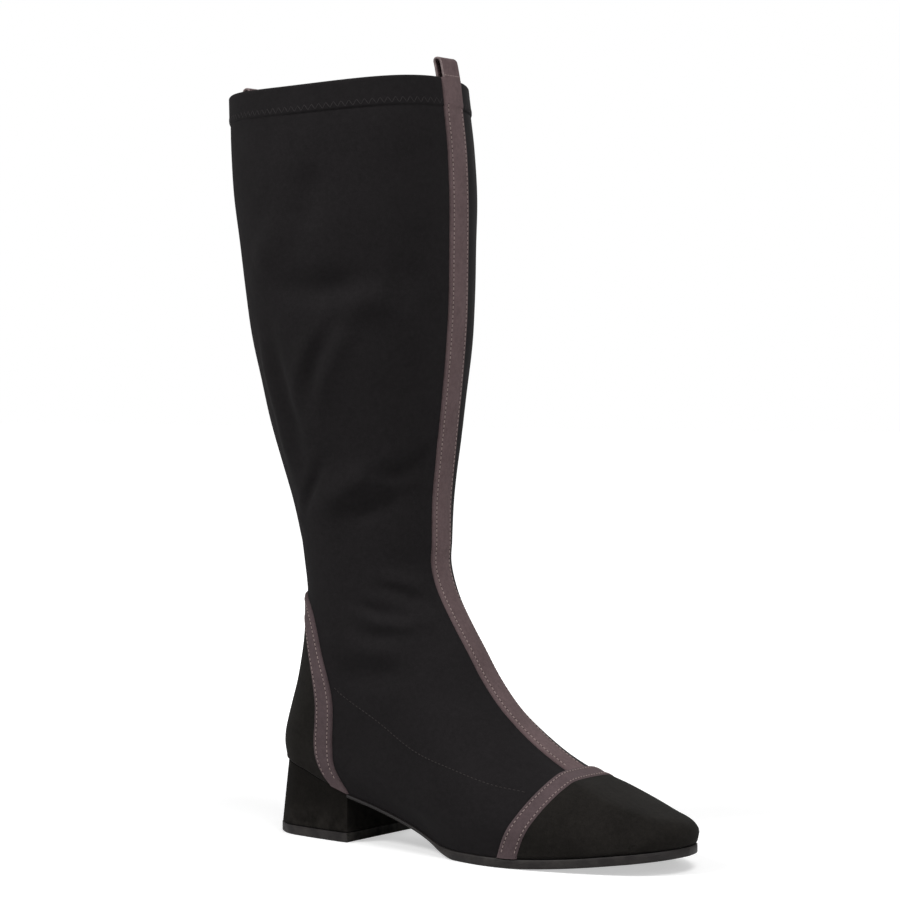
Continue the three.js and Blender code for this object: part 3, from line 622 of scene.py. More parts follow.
def relief(points):
    """Height of the creases and of the cloth's slow waves at places of the upper."""
    x, y, z = points[..., 0], points[..., 1], points[..., 2]
    height = np.zeros(x.shape)
    for size, *paces in WAVES:
        one, other = (np.sin(points @ np.array(pace[:3]) + pace[3]) for pace in paces)
        height = height + size * one * other
    for line, width, peak in CREASE_LINES:
        away = np.full(x.shape, np.inf)
        along = np.zeros(x.shape)
        lengths = np.linalg.norm(np.diff(line, axis=0), axis=1)
        start = 0.0
        for a, b, length in zip(line[:-1], line[1:], lengths):
            step = b - a
            t = np.clip(((points - a) @ step) / length ** 2, 0, 1)
            far = np.linalg.norm(points - a - t[..., None] * step, axis=-1)
            along = np.where(far < away, start + t * length, along)
            away = np.minimum(away, far)
            start += length
        fade = CREASE_FADE * start
        tips = mix(TIP_SHARE, 1, ease(along / fade + 0.1) * ease((start - along) / fade + 0.1))
        height = height + CREASE_DEPTH * peak * np.exp(-(away / width) ** 2) * tips
    calm = ease((z - feather_height(x)) / FEATHER_CALM - 0.4)
    behind_toe = TOE_BAND["rear"][3] * SOLE_LENGTH - x + TOE_SLANT * (z - TOE_CALM_UP)
    calm = calm * ease(behind_toe / TOE_CALM)
    band_x = np.interp(z, HEEL_BAND_FRONT["up"] * ANKLE_HEIGHT, HEEL_BAND_FRONT["at"] * SOLE_LENGTH)
    heel = ease((x - band_x) / HEEL_CALM)
    over_band = z - HEEL_BAND_FRONT["up"][-1] * ANKLE_HEIGHT
    calm = calm * np.where(over_band < 0, heel, ease(over_band / BAND_CALM + heel))
    zip_away = np.where((y > 0) & (z > ZIP_END - ZIP_CALM_DROP), np.abs(x - zip_x(z)), FAR)
    calm = calm * ease((zip_away - ZIP_CLEAR) / ZIP_CALM)
    rim = mix(1.0, RIM_SHARE, ease((z - (SHAFT_HEIGHT - 2 * HEM_HEIGHT)) / HEM_HEIGHT))
    on_front = ease((x - leg_oval(np.maximum(z, ANKLE_HEIGHT))[0]) / FRONT_REACH)
    beside = ease((np.abs(y - STRIP_SHIFT) - STRIP_WIDTH / 2) / STRIP_CALM)
    return height * calm * rim * mix(1, mix(STRIP_SHARE, 1, beside), on_front)


def skin(level, turn, distance=0.0):
    """Points at a distance outside the creased face of the upper."""
    points = bare_skin(level, turn)
    return points + outward(level, turn) * (relief(points) + distance)[..., None]


# Lines over the boot, as evenly spaced levels and turns
def path_through(table, height):
    x = table["at"] * SOLE_LENGTH
    z = table["up"] * height
    places = np.concatenate([[0], np.cumsum(np.hypot(np.diff(x), np.diff(z)))])
    return lambda s: (smooth(places, x, s * places[-1]), smooth(places, z, s * places[-1]))


def band_path(name):
    def path(s):
        up = mix(-0.2, 1.25, s)
        return read(TOE_BAND, "up", name, up) * SOLE_LENGTH, up * SHOULDER_HEIGHT
    return path


def even(line, count, distance=0.0):
    points = skin(line[:, 0], line[:, 1], distance)
    run = run_of(points)
    at = np.linspace(0, run[-1], count)
    return np.stack([np.interp(at, run, line[:, 0]), np.interp(at, run, line[:, 1])], axis=1)


def over_ridge(path, ridge, count):
    """A line up the outer side from the feather line, over the ridge (0 back, 1 front) and down
    the inner side."""
    halves = []
    for side in (OUTER, INNER):
        s = np.linspace(0, 1, 300)
        level, share = place_of(*path(s), side)
        inside = share if ridge == 0 else 1 - share
        first = int(np.argmax(level > 0))
        last = first + int(np.argmax(inside[first:] < 0))
        low = s[first - 1] + (s[first] - s[first - 1]) * level[first - 1] / (level[first - 1] - level[first])
        high = s[last - 1] + (s[last] - s[last - 1]) * inside[last - 1] / (inside[last - 1] - inside[last])
        w = np.linspace(1, 0, 160)
        level, share = place_of(*path(high - (high - low) * w ** 2), side)
        level[0] = 0
        share[-1] = ridge
        turn = turn_of(share, side)
        if ridge == 0 and side > 0:
            turn = turn - 1
        if ridge == 0:
            turn[-1] = 0
        halves.append(np.stack([level, turn], axis=1))
    line = np.concatenate([halves[0], halves[1][::-1][1:]])
    return even(line, count)


def across_ridge(level, y):
    """Turn near the front where the skin is at a place y."""
    level, y = np.broadcast_arrays(level, y)
    low = np.full(level.shape, 0.3)
    high = np.full(level.shape, 0.7)
    for _ in range(26):
        middle = (low + high) / 2
        left = bare_skin(level, middle)[..., 1] < y
        low = np.where(left, middle, low)
        high = np.where(left, high, middle)
    return (low + high) / 2


# Meshes
ORIGIN = np.array([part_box("outsole")[1].x * 1000 - SOLE_LENGTH, 0, 0])


def to_metres(points):
    return (np.asarray(points, float) + ORIGIN) / 1000


def grid_faces(rows, cols, start=0, round_=False, loop=False):
    """Faces of a grid of points. Columns close round, or rows close into a loop."""
    i = np.arange(rows if loop else rows - 1)[:, None]
    j = np.arange(cols if round_ else cols - 1)[None, :]
    i2 = (i + 1) % rows
    j2 = (j + 1) % cols
    quads = np.stack([i * cols + j, i * cols + j2, i2 * cols + j2, i2 * cols + j], axis=-1)
    return quads.reshape(-1, 4) + start


def add_piece(name, body, nodes, points, faces, materials, uv=None, face_slots=None, sharp=50,
              weld=True):
    """A mesh piece on a body, in metres in the model's frame."""
    mesh = bpy.data.meshes.new(name)
    mesh.from_pydata(to_metres(points).tolist(), [], [tuple(f) for f in faces])
    mesh.update()
    if uv is not None:
        layer = mesh.uv_layers.new(name="cloth")
        corners = np.empty(len(mesh.loops), int)
        mesh.loops.foreach_get("vertex_index", corners)
        layer.data.foreach_set("uv", np.asarray(uv, np.float32)[corners].ravel())
    for material in materials:
        mesh.materials.append(material)
    if face_slots is not None:
        mesh.polygons.foreach_set("material_index", np.asarray(face_slots, np.int32))
    piece = bpy.data.objects.new(name, mesh)
    bpy.context.scene.collection.objects.link(piece)
    if weld:
        weld_points(mesh)
    mesh.shade_smooth()
    mesh.set_sharp_from_angle(angle=math.radians(sharp))
    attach(piece, body)
    if nodes:
        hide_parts(*nodes)


def weld_points(mesh):
    work = bmesh.new()
    work.from_mesh(mesh)
    bmesh.ops.remove_doubles(work, verts=work.verts, dist=1e-6)
    bmesh.ops.dissolve_degenerate(work, edges=work.edges, dist=1e-7)
    bmesh.ops.recalc_face_normals(work, faces=work.faces)
    work.to_mesh(mesh)
    work.free()


def rod_faces(rows, cols):
    """Faces of rings in a row, closed at both ends."""
    faces = grid_faces(rows, cols, round_=True).tolist()
    faces.append(list(range(cols))[::-1])
    faces.append(list(range((rows - 1) * cols, rows * cols)))
    return faces


def sheet_faces(rows, cols, start=0):
    """Faces of two grids of points, one over the other, joined round their edges."""
    size = rows * cols
    edge = np.concatenate([
        np.arange(cols),
        np.arange(1, rows) * cols + cols - 1,
        (rows - 1) * cols + np.arange(cols - 2, -1, -1),
        np.arange(rows - 2, 0, -1) * cols,
    ])
    after = np.roll(edge, -1)
    wall = np.stack([edge, edge + size, after + size, after], axis=1) + start
    under = grid_faces(rows, cols, start + size)[:, ::-1]
    return np.concatenate([grid_faces(rows, cols, start), under, wall])


def slab(lines, heights, under):
    """A closed layer over a grid of levels and turns: its top at the heights, its underside
    at one distance. Gives points and faces."""
    level, turn = lines[..., 0], lines[..., 1]
    top = skin(level, turn, heights)
    low = skin(level, turn, np.full(level.shape, under))
    return np.concatenate([top.reshape(-1, 3), low.reshape(-1, 3)]), sheet_faces(*level.shape)


STITCH_SIDES = 6
# Rings of one thread: place along it, thickness and lift
STITCH_RINGS = np.array([
    (-0.5, 0.35, -0.9),
    (-0.36, 0.9, -0.25),
    (0.0, 1.0, 0.12),
    (0.36, 0.9, -0.25),
    (0.5, 0.35, -0.9),
])


def stitches(starts, ends, normals, radius):
    """Small threads from starts to ends that dip into the face at both ends."""
    middle = (starts + ends) / 2
    run = ends - starts
    side = unit(np.cross(normals, run))
    angle = np.linspace(0, 2 * np.pi, STITCH_SIDES, endpoint=False)
    along = STITCH_RINGS[:, 0][None, :, None, None] * run[:, None, None, :]
    lift = STITCH_RINGS[:, 2][None, :, None, None] * radius * normals[:, None, None, :]
    wide = STITCH_RINGS[:, 1][None, :, None, None] * radius
    ring = np.cos(angle)[None, None, :, None] * side[:, None, None, :]
    ring = ring + np.sin(angle)[None, None, :, None] * normals[:, None, None, :]
    points = middle[:, None, None, :] + along + lift + wide * ring
    count, rings = len(starts), len(STITCH_RINGS)
    one = rod_faces(rings, STITCH_SIDES)
    size = rings * STITCH_SIDES
    faces = [[v + k * size for v in face] for k in range(count) for face in one]
    return points.reshape(-1, 3), faces


def joined(parts):
    """Several sets of points and faces as one."""
    points, faces, start = [], [], 0
    for some_points, some_faces in parts:
        points.append(some_points)
        faces.extend([[v + start for v in face] for face in some_faces])
        start += len(some_points)
    return np.concatenate(points), faces


STITCH_PITCH = 2.4
STITCH_LENGTH = 1.75
THREAD = 0.27


def seam(line, distance):
    """Way along a line of levels and turns, its places at a distance from the face, and normals."""
    points = skin(line[:, 0], line[:, 1], distance + np.zeros(len(line)))
    return run_of(points), points, outward(line[:, 0], line[:, 1])


def threads_at(middles, length, thread, run, points, normals):
    """Threads of a length round places along a seam."""
    def at(places, values):
        return np.stack([np.interp(places, run, values[:, k]) for k in range(3)], axis=1)

    starts = at(middles - length / 2, points)
    ends = at(middles + length / 2, points)
    return stitches(starts, ends, unit(at(middles, normals)), thread)


def stitch_row(line, distance, pitch=STITCH_PITCH, length=STITCH_LENGTH, thread=THREAD):
    """Stitches along a line of levels and turns."""
    places = seam(even(line, 900, distance), distance)
    return threads_at(np.arange(pitch / 2, places[0][-1], pitch), length, thread, *places)


# Materials
def linear(*colour):
    """A screen colour from 0 to 255 as a linear one."""
    shares = np.array(colour) / 255
    bright = ((shares + 0.055) / 1.055) ** 2.4
    return (*np.where(shares <= 0.04045, shares / 12.92, bright).tolist(), 1)


def node_group(name, inputs, outputs):
    tree = bpy.data.node_groups.new(name, "ShaderNodeTree")
    for label, kind, value in inputs:
        socket = tree.interface.new_socket(label, in_out="INPUT", socket_type=kind)
        socket.default_value = value
    for label, kind in outputs:
        tree.interface.new_socket(label, in_out="OUTPUT", socket_type=kind)
    return tree, tree.nodes.new("NodeGroupInput"), tree.nodes.new("NodeGroupOutput")


def number(tree, operation, a, b=0.0, c=0.0):
    node = tree.nodes.new("ShaderNodeMath")
    node.operation = operation
    for socket, value in zip(node.inputs, (a, b, c)):
        if isinstance(value, (int, float)):
            socket.default_value = value
        else:
            tree.links.new(value, socket)
    return node.outputs[0]


def noise(tree, place, scale, detail, roughness=0.5):
    node = tree.nodes.new("ShaderNodeTexNoise")
    node.inputs["Scale"].default_value = scale
    node.inputs["Detail"].default_value = detail
    node.inputs["Roughness"].default_value = roughness
    tree.links.new(place, node.inputs["Vector"])
    return node.outputs["Fac"]


def shaded(tree, colour, factor):
    node = tree.nodes.new("ShaderNodeVectorMath")
    node.operation = "SCALE"
    tree.links.new(colour, node.inputs[0])
    tree.links.new(factor, node.inputs["Scale"])
    return node.outputs["Vector"]


def nap_group():
    """Brushed surface: fine fibres and soft patches where the pile lies another way."""
    tree, given, result = node_group(
        "nap",
        [("Color", "NodeSocketColor", (0.1, 0.1, 0.1, 1)), ("Grain", "NodeSocketFloat", 0.3),
         ("Patches", "NodeSocketFloat", 0.3)],
        [("Color", "NodeSocketColor"), ("Height", "NodeSocketFloat")],
    )
    place = tree.nodes.new("ShaderNodeTexCoord").outputs["Object"]
    fine = noise(tree, place, 1500, 3, 0.65)
    middle = noise(tree, place, 420, 3, 0.6)
    patches = noise(tree, place, 46, 3, 0.55)
    grain = number(tree, "ADD", number(tree, "SUBTRACT", fine, 0.5), number(tree, "SUBTRACT", middle, 0.5))
    shade = number(tree, "MULTIPLY_ADD", grain, given.outputs["Grain"], 1.0)
    soft = number(tree, "MULTIPLY", number(tree, "SUBTRACT", patches, 0.5), given.outputs["Patches"])
    shade = number(tree, "ADD", shade, soft)
    tree.links.new(shaded(tree, given.outputs["Color"], shade), result.inputs["Color"])
    tree.links.new(number(tree, "ADD", fine, middle), result.inputs["Height"])
    return tree


def weave_group():
    """Plain woven cloth from two crossing sets of threads."""
    tree, given, result = node_group(
        "weave",
        [("Color", "NodeSocketColor", (0.1, 0.1, 0.1, 1)), ("Pitch", "NodeSocketFloat", 0.6),
         ("Depth", "NodeSocketFloat", 0.3)],
        [("Color", "NodeSocketColor"), ("Height", "NodeSocketFloat")],
    )
    place = tree.nodes.new("ShaderNodeUVMap")
    place.uv_map = "cloth"
    parts = tree.nodes.new("ShaderNodeSeparateXYZ")
    tree.links.new(place.outputs["UV"], parts.inputs[0])
    turn = number(tree, "DIVIDE", math.tau / 2, given.outputs["Pitch"])
    u = number(tree, "SINE", number(tree, "MULTIPLY", parts.outputs[0], turn))
    v = number(tree, "SINE", number(tree, "MULTIPLY", parts.outputs[1], turn))
    height = number(tree, "MULTIPLY_ADD", number(tree, "MULTIPLY", u, v), 0.5, 0.5)
    shade = number(tree, "MULTIPLY_ADD", number(tree, "SUBTRACT", height, 0.5), given.outputs["Depth"], 1.0)
    tree.links.new(shaded(tree, given.outputs["Color"], shade), result.inputs["Color"])
    tree.links.new(height, result.inputs["Height"])
    return tree


def wear_group():
    """Faint dust and rubbing that grows towards the floor."""
    tree, given, result = node_group(
        "wear",
        [("Color", "NodeSocketColor", (0.1, 0.1, 0.1, 1)), ("Dust", "NodeSocketColor", (0.2, 0.18, 0.16, 1)),
         ("Amount", "NodeSocketFloat", 0.3), ("Reach", "NodeSocketFloat", 0.02)],
        [("Color", "NodeSocketColor"), ("Mask", "NodeSocketFloat")],
    )
    place = tree.nodes.new("ShaderNodeTexCoord").outputs["Object"]
    parts = tree.nodes.new("ShaderNodeSeparateXYZ")
    tree.links.new(place, parts.inputs[0])
    low = number(tree, "SUBTRACT", 1.0, number(tree, "DIVIDE", parts.outputs[2], given.outputs["Reach"]))
    low = number(tree, "MAXIMUM", low, 0.0)
    spots = number(tree, "MULTIPLY_ADD", noise(tree, place, 160, 4, 0.6), 3.0, -1.1)
    spots = number(tree, "MINIMUM", number(tree, "MAXIMUM", spots, 0.0), 1.0)
    mask = number(tree, "MULTIPLY", number(tree, "MULTIPLY", low, spots), given.outputs["Amount"])
    blend = tree.nodes.new("ShaderNodeMix")
    blend.data_type = "RGBA"
    tree.links.new(mask, blend.inputs["Factor"])
    tree.links.new(given.outputs["Color"], blend.inputs["A"])
    tree.links.new(given.outputs["Dust"], blend.inputs["B"])
    tree.links.new(blend.outputs["Result"], result.inputs["Color"])
    tree.links.new(mask, result.inputs["Mask"])
    return tree


NAP = nap_group()
WEAVE = weave_group()
WEAR = wear_group()


def finish(name, colour, roughness, texture=None, bump=0.0, depth=0.0001, metallic=0.0, sheen=0.0,
           specular=0.5, wear=None, **values):
    """A material of one colour, with an optional surface texture and wear."""
    material = bpy.data.materials.new(name)
    material.use_nodes = True
    tree = material.node_tree
    shader = tree.nodes["Principled BSDF"]
    shader.inputs["Base Color"].default_value = colour
    shader.inputs["Roughness"].default_value = roughness
    shader.inputs["Metallic"].default_value = metallic
    shader.inputs["Sheen Weight"].default_value = sheen
    shader.inputs["Sheen Roughness"].default_value = 0.5
    shader.inputs["Specular IOR Level"].default_value = specular
    shown = None
    if texture is not None:
        node = tree.nodes.new("ShaderNodeGroup")
        node.node_tree = texture
        node.inputs["Color"].default_value = colour
        for label, value in values.items():
            node.inputs[label].default_value = value
        shown = node.outputs["Color"]
        lumps = tree.nodes.new("ShaderNodeBump")
        lumps.inputs["Strength"].default_value = bump
        lumps.inputs["Distance"].default_value = depth
        tree.links.new(node.outputs["Height"], lumps.inputs["Height"])
        tree.links.new(lumps.outputs["Normal"], shader.inputs["Normal"])
    if wear is not None:
        node = tree.nodes.new("ShaderNodeGroup")
        node.node_tree = WEAR
        node.inputs["Color"].default_value = colour
        node.inputs["Amount"].default_value = wear
        if shown is not None:
            tree.links.new(shown, node.inputs["Color"])
        shown = node.outputs["Color"]
    if shown is not None:
        tree.links.new(shown, shader.inputs["Base Color"])
    return material


stretch = finish("stretch_fabric", linear(33, 31, 32), 0.9, NAP, 0.25, 0.00012, sheen=0.02, specular=0.06,
                 Grain=0.5, Patches=0.3)
black_suede = finish("black_suede", linear(33, 31, 29), 0.97, NAP, 0.4, 0.0002, sheen=0.03, specular=0.04,
                     Grain=0.7, Patches=0.7)
heel_suede = finish("heel_suede", linear(26, 24, 22), 0.97, NAP, 0.35, 0.0002, sheen=0.02, specular=0.04,
                    wear=0.12, Grain=0.6, Patches=0.6)
grey_suede = finish("grey_suede", linear(103, 87, 88), 0.95, NAP, 0.5, 0.00025, sheen=0.03, specular=0.05,
                    Grain=0.5, Patches=0.5)
# A darker copy of the grey suede for the toe band and the heel band: the darkening is painted shade, not
# another suede.
band_suede_painted_shade = finish("band_suede_painted_shade", linear(90, 77, 79), 0.95, NAP, 0.5, 0.00025, sheen=0.03, specular=0.05,
                    Grain=0.5, Patches=0.5)
# A lighter copy of the grey suede for the edges and ends of the pull loops: a painted highlight along them.
edge_highlight_suede = finish("edge_highlight_suede", linear(134, 120, 119), 0.95, NAP, 0.5, 0.0002, specular=0.05, Grain=0.8,
                  Patches=0.3)
lining_cloth = finish("lining_cloth", linear(34, 32, 32), 0.9, WEAVE, 0.4, 0.0001, specular=0.1, Pitch=0.7,
                      Depth=0.5)
sock_leather = finish("sock_leather", linear(34, 32, 31), 0.6, NAP, 0.15, 0.0001, specular=0.3, Grain=0.3,
                      Patches=0.4)
rubber = finish("black_rubber", linear(34, 33, 32), 0.7, NAP, 0.2, 0.0001, specular=0.2, wear=0.4, Grain=0.3,
                Patches=0.3)
# A lighter copy of the black rubber for the sides of the sole and of the top piece: painted light where the
# sides face the lamps. The wear on it is dust.
sole_edge_painted_light = finish("sole_edge_painted_light", linear(41, 38, 38), 0.5, NAP, 0.1, 0.0001, specular=0.25, wear=0.15,
                   Grain=0.2, Patches=0.3)
seam_thread = finish("seam_thread", linear(54, 50, 50), 0.75, specular=0.15)
black_thread = finish("black_thread", linear(42, 40, 40), 0.7, specular=0.15)
grey_thread = finish("grey_thread", linear(152, 136, 132), 0.8, specular=0.15)
# Small dark marks at the needle holes between the stitches: painted shade of the holes.
hole_shade = finish("painted_hole_shade", linear(40, 30, 31), 0.95, specular=0.02)
hem_thread = finish("hem_thread", linear(50, 47, 48), 0.75, specular=0.15)
tape_cloth = finish("tape_cloth", linear(26, 25, 26), 0.85, WEAVE, 0.5, 0.0001, specular=0.1, Pitch=0.5,
                    Depth=0.5)
coil = finish("coil_plastic", linear(28, 28, 29), 0.35, specular=0.4)
metal = finish("dark_metal", linear(84, 84, 88), 0.28, metallic=1.0)


# Upper: one sheet round the leg and the foot, folded over at the rim and at the zip's slot
LEG_LENGTH = SHAFT_HEIGHT - ANKLE_HEIGHT
HEM_LEVEL = 2 - HEM_HEIGHT / LEG_LENGTH
RIM_MIDDLE = (HEM_STEP - WALL) / 2
RIM_ROUND = (HEM_STEP + WALL) / 2
SLOT_FOLD = 0.95
SLOT_OPENING = 4
SLOT_TUCK = 5
# Size of the cloth's weave: once round the leg, then from the sole to the ankle
WEAVE_ROUND = 390
FABRIC_RISE = 200
LINING_RISE = 220
TAPE_RISE = 230


def slot_half(level):
    """Half width of the slot at a level, closing at the zip's end."""
    turn = zip_turn(level)
    z = bare_skin(level, turn)[..., 2]
    return SLOT_WIDTH / 2 * np.sqrt(np.clip((z - ZIP_END) / SLOT_OPENING, 0, 1))


def slot_turns(level, half):
    """Turns of both edges of a strip along the zip: the rear one, a full turn back, and the front one."""
    return zip_turn(level, -half) - 1, zip_turn(level, half)


def upper_rows():
    """Levels of the sheet's rows and their distance from the face: up the outside, over the step
    of the hem, round the rim and down inside it."""
    rows = [(level, 0.0) for level in np.linspace(0, 1, 116)[:-1]]
    rows += [(level, 0.0) for level in np.linspace(1, HEM_LEVEL - 0.8 / LEG_LENGTH, 158)]
    rows += [(HEM_LEVEL - 0.3 / LEG_LENGTH, -0.12), (HEM_LEVEL, 0.0), (HEM_LEVEL + 0.35 / LEG_LENGTH, 0.4)]
    centre = 2 - RIM_ROUND / LEG_LENGTH
    rows += [(level, HEM_STEP) for level in np.linspace(HEM_LEVEL + 0.9 / LEG_LENGTH, centre, 12)[:-1]]
    for angle in np.linspace(0, np.pi, 9):
        rows.append((centre + RIM_ROUND * np.sin(angle) / LEG_LENGTH, RIM_MIDDLE + RIM_ROUND * np.cos(angle)))
    rows += [(level, -WALL) for level in np.linspace(centre, 2 - 16 / LEG_LENGTH, 9)[1:]]
    rows.append((2 - 16.4 / LEG_LENGTH, -WALL + 0.5))
    return np.array(rows)


def upper_fabric():
    rows = upper_rows()
    level = rows[:, 0]
    face_level = np.minimum(level, 2)
    half = slot_half(face_level)
    open_ = half / (SLOT_WIDTH / 2)
    angles = np.linspace(0, np.pi, 6)[1:]
    rear, front = slot_turns(face_level, half + SLOT_FOLD * open_)
    inner_rear, inner_front = slot_turns(face_level, half + SLOT_TUCK * open_)
    folds = [slot_turns(face_level, half + SLOT_FOLD * open_ * (1 - np.sin(angle))) for angle in angles]
    deep = (1 - np.cos(angles)) / 2
    # Turn and depth of each column, from inside the slot's rear edge round to inside its front edge
    strands = [(inner_rear, 1.0)]
    strands += [(fold[0], depth) for fold, depth in zip(folds[::-1], deep[::-1])]
    strands += [(mix(rear, front, share), 0.0) for share in np.linspace(0, 1, 272)]
    strands += [(fold[1], depth) for fold, depth in zip(folds, deep)]
    strands.append((inner_front, 1.0))
    turn = np.stack([strand for strand, _ in strands], axis=1)
    fold = np.array([depth for _, depth in strands])[None] * open_[:, None]
    levels = np.repeat(level[:, None], turn.shape[1], axis=1)
    distance = mix(np.repeat(rows[:, 1:2], turn.shape[1], axis=1), -WALL + 0.05, fold)
    points = skin(levels, turn, distance)
    uv = np.stack([turn * WEAVE_ROUND, levels * FABRIC_RISE], axis=-1).reshape(-1, 2)
    add_piece("upper_fabric", "boot", ["upper"], points.reshape(-1, 3),
              grid_faces(*turn.shape), [stretch], uv, sharp=70)


LINING_DEPTH = 1.75


def shaft_lining():
    level = np.concatenate([np.linspace(0, 1, 70)[:-1], np.linspace(1, 2 - 14 / LEG_LENGTH, 80)])
    half = slot_half(level)
    rear, front = slot_turns(level, half + 2.4 * half / (SLOT_WIDTH / 2))
    share = np.linspace(0, 1, 160)
    turn = mix(rear[:, None], front[:, None], share[None])
    levels = np.repeat(level[:, None], len(share), axis=1)
    points = skin(levels, turn, np.full(turn.shape, -LINING_DEPTH))
    uv = np.stack([turn * WEAVE_ROUND, levels * LINING_RISE], axis=-1).reshape(-1, 2)
    add_piece("shaft_lining", "boot", ["upper"], points.reshape(-1, 3),
              grid_faces(*turn.shape), [lining_cloth], uv, sharp=80)


# Suede layers
EDGE = 1.1
SINK = -0.5


def rounded(count, width, height):
    """Shares across a band of a width and its height there, rounded over at its edges."""
    near = EDGE * (1 - np.cos(np.linspace(0, np.pi / 2, 4))) / width
    share = np.concatenate([near[:-1], np.linspace(near[-1], 1 - near[-1], count), 1 - near[:-1][::-1]])
    away = np.minimum(share, 1 - share) * width
    return share, height * np.sqrt(1 - (1 - np.clip(away / EDGE, 0, 1)) ** 2)


def hem_lift(level):
    return HEM_STEP * np.clip((level - HEM_LEVEL) * LEG_LENGTH / 0.9, 0, 1)


BAND_TOP = GAP + BAND_SUEDE
TOE_BAND_WIDTH = 11.5
HEEL_BAND_WIDTH = 12
SUEDE_TOP = GAP + SUEDE
# The black suede runs under this share of a band, and rounds down over this height to the sole
LAP = 0.12
FEATHER_ROUND = 1.4


def suede_height(up):
    return SUEDE_TOP * np.sqrt(np.clip(up / FEATHER_ROUND, 0, 1))


def band_between(rear, front, count, width, top):
    share, height = rounded(count, width, top)
    lines = mix(rear[None], front[None], share[:, None, None])
    return lines, np.repeat(height[:, None], rear.shape[0], axis=1)


def toe_band():
    rear = over_ridge(band_path("rear"), 1, 190)
    front = over_ridge(band_path("front"), 1, 190)
    lines, heights = band_between(rear, front, 8, TOE_BAND_WIDTH, BAND_TOP)
    points, faces = slab(lines, heights, SINK)
    # The toe band's suede is the grey suede darkened with painted shade.
    add_piece("toe_band_suede", "boot", ["toe_band"], points, faces, [band_suede_painted_shade])
    return rear, front


def toe_cap(rear, front):
    top = mix(front, rear, LAP)
    share = np.linspace(0, 1, 64)[:, None]
    level = share * top[None, :, 0]
    turn = np.repeat(top[None, :, 1], len(share), axis=0)
    points, faces = slab(np.stack([level, turn], axis=-1), suede_height(level * front_ankle), SINK)
    add_piece("toe_cap_suede", "boot", ["toe_cap"], points, faces, [black_suede])


def heel_band():
    front = over_ridge(path_through(HEEL_BAND_FRONT, ANKLE_HEIGHT), 0, 300)
    back = over_ridge(path_through(HEEL_BAND_BACK, ANKLE_HEIGHT), 0, 300)
    lines, heights = band_between(front, back, 9, HEEL_BAND_WIDTH, BAND_TOP)
    points, faces = slab(lines, heights, SINK)
    # The heel band's suede is the grey suede darkened with painted shade.
    add_piece("heel_band_suede", "boot", ["heel_band"], points, faces, [band_suede_painted_shade])
    return front, back


def heel_counter(front, back):
    top = mix(back, front, LAP)
    bottom = np.stack([np.zeros(len(top)), np.linspace(top[0, 1], top[-1, 1], len(top))], axis=1)
    share = np.linspace(0, 1, 46)[:, None, None]
    lines = mix(bottom[None], top[None], share)
    points, faces = slab(lines, suede_height(lines[..., 0] * back_ankle), SINK)
    add_piece("heel_counter_suede", "boot", ["heel_counter"], points, faces, [black_suede])


# Levels that the strip runs under the toe band, its close rows below the hem and its stitches' start
STRIP_TUCK = 0.035
HEM_ROWS = 0.01
STRIP_ROW_START = 0.045


def front_strip(rear):
    """The strip from under the toe band to the rim. Gives the level of its lower end."""
    low = float(rear[len(rear) // 2, 0]) - STRIP_TUCK
    below_hem = HEM_LEVEL - HEM_ROWS
    level = np.concatenate([np.linspace(low, 1, 90)[:-1], np.linspace(1, below_hem, 110)[:-1],
                            np.linspace(below_hem, 2 - 0.4 / LEG_LENGTH, 24)])
    share, height = rounded(9, STRIP_WIDTH, SUEDE_TOP)
    y = STRIP_SHIFT - STRIP_WIDTH / 2 + share * STRIP_WIDTH
    turn = across_ridge(level[:, None], y[None, :])
    lines = np.stack([np.repeat(level[:, None], len(y), axis=1), turn], axis=-1)
    points, faces = slab(lines, height[None, :] + hem_lift(lines[..., 0]), SINK)
    add_piece("front_strip_suede", "boot", ["front_strip"], points, faces, [grey_suede])
    return low


# Pull loops
def loop_path(outer, inner, leg_out, leg_in):
    """Middle line of a strap over the rim, as distances out from the wall and up from the rim."""
    radius = (outer - inner) / 2 + STRAP / 2
    middle = (outer + inner) / 2
    crown = LOOP_RISE - radius - STRAP / 2
    angles = np.linspace(0, np.pi, 22)
    over_out = middle + radius * np.cos(angles[1:-1])
    over_up = crown + radius * np.sin(angles[1:-1])
    out = np.concatenate([np.full(14, middle + radius), over_out, np.full(14, middle - radius)])
    up = np.concatenate([np.linspace(-leg_out, crown, 14), over_up, np.linspace(crown, -leg_in, 14)])
    return out, up


def strap_section(width, thick):
    """Rounded section of a strap, as places across and through it."""
    points = []
    r = thick / 2
    for centre, angles in [(width / 2 - r, np.linspace(-np.pi / 2, np.pi / 2, 7)),
                           (r - width / 2, np.linspace(np.pi / 2, 3 * np.pi / 2, 7))]:
        points += [(centre + r * np.cos(a), r * np.sin(a)) for a in angles]
    section = []
    for a, b in zip(points, points[1:] + points[:1]):
        section.append(a)
        if abs(a[0] - b[0]) > width / 2:
            section += [(mix(a[0], b[0], s), a[1]) for s in (0.17, 0.33, 0.5, 0.67, 0.83)]
    return np.array(section)


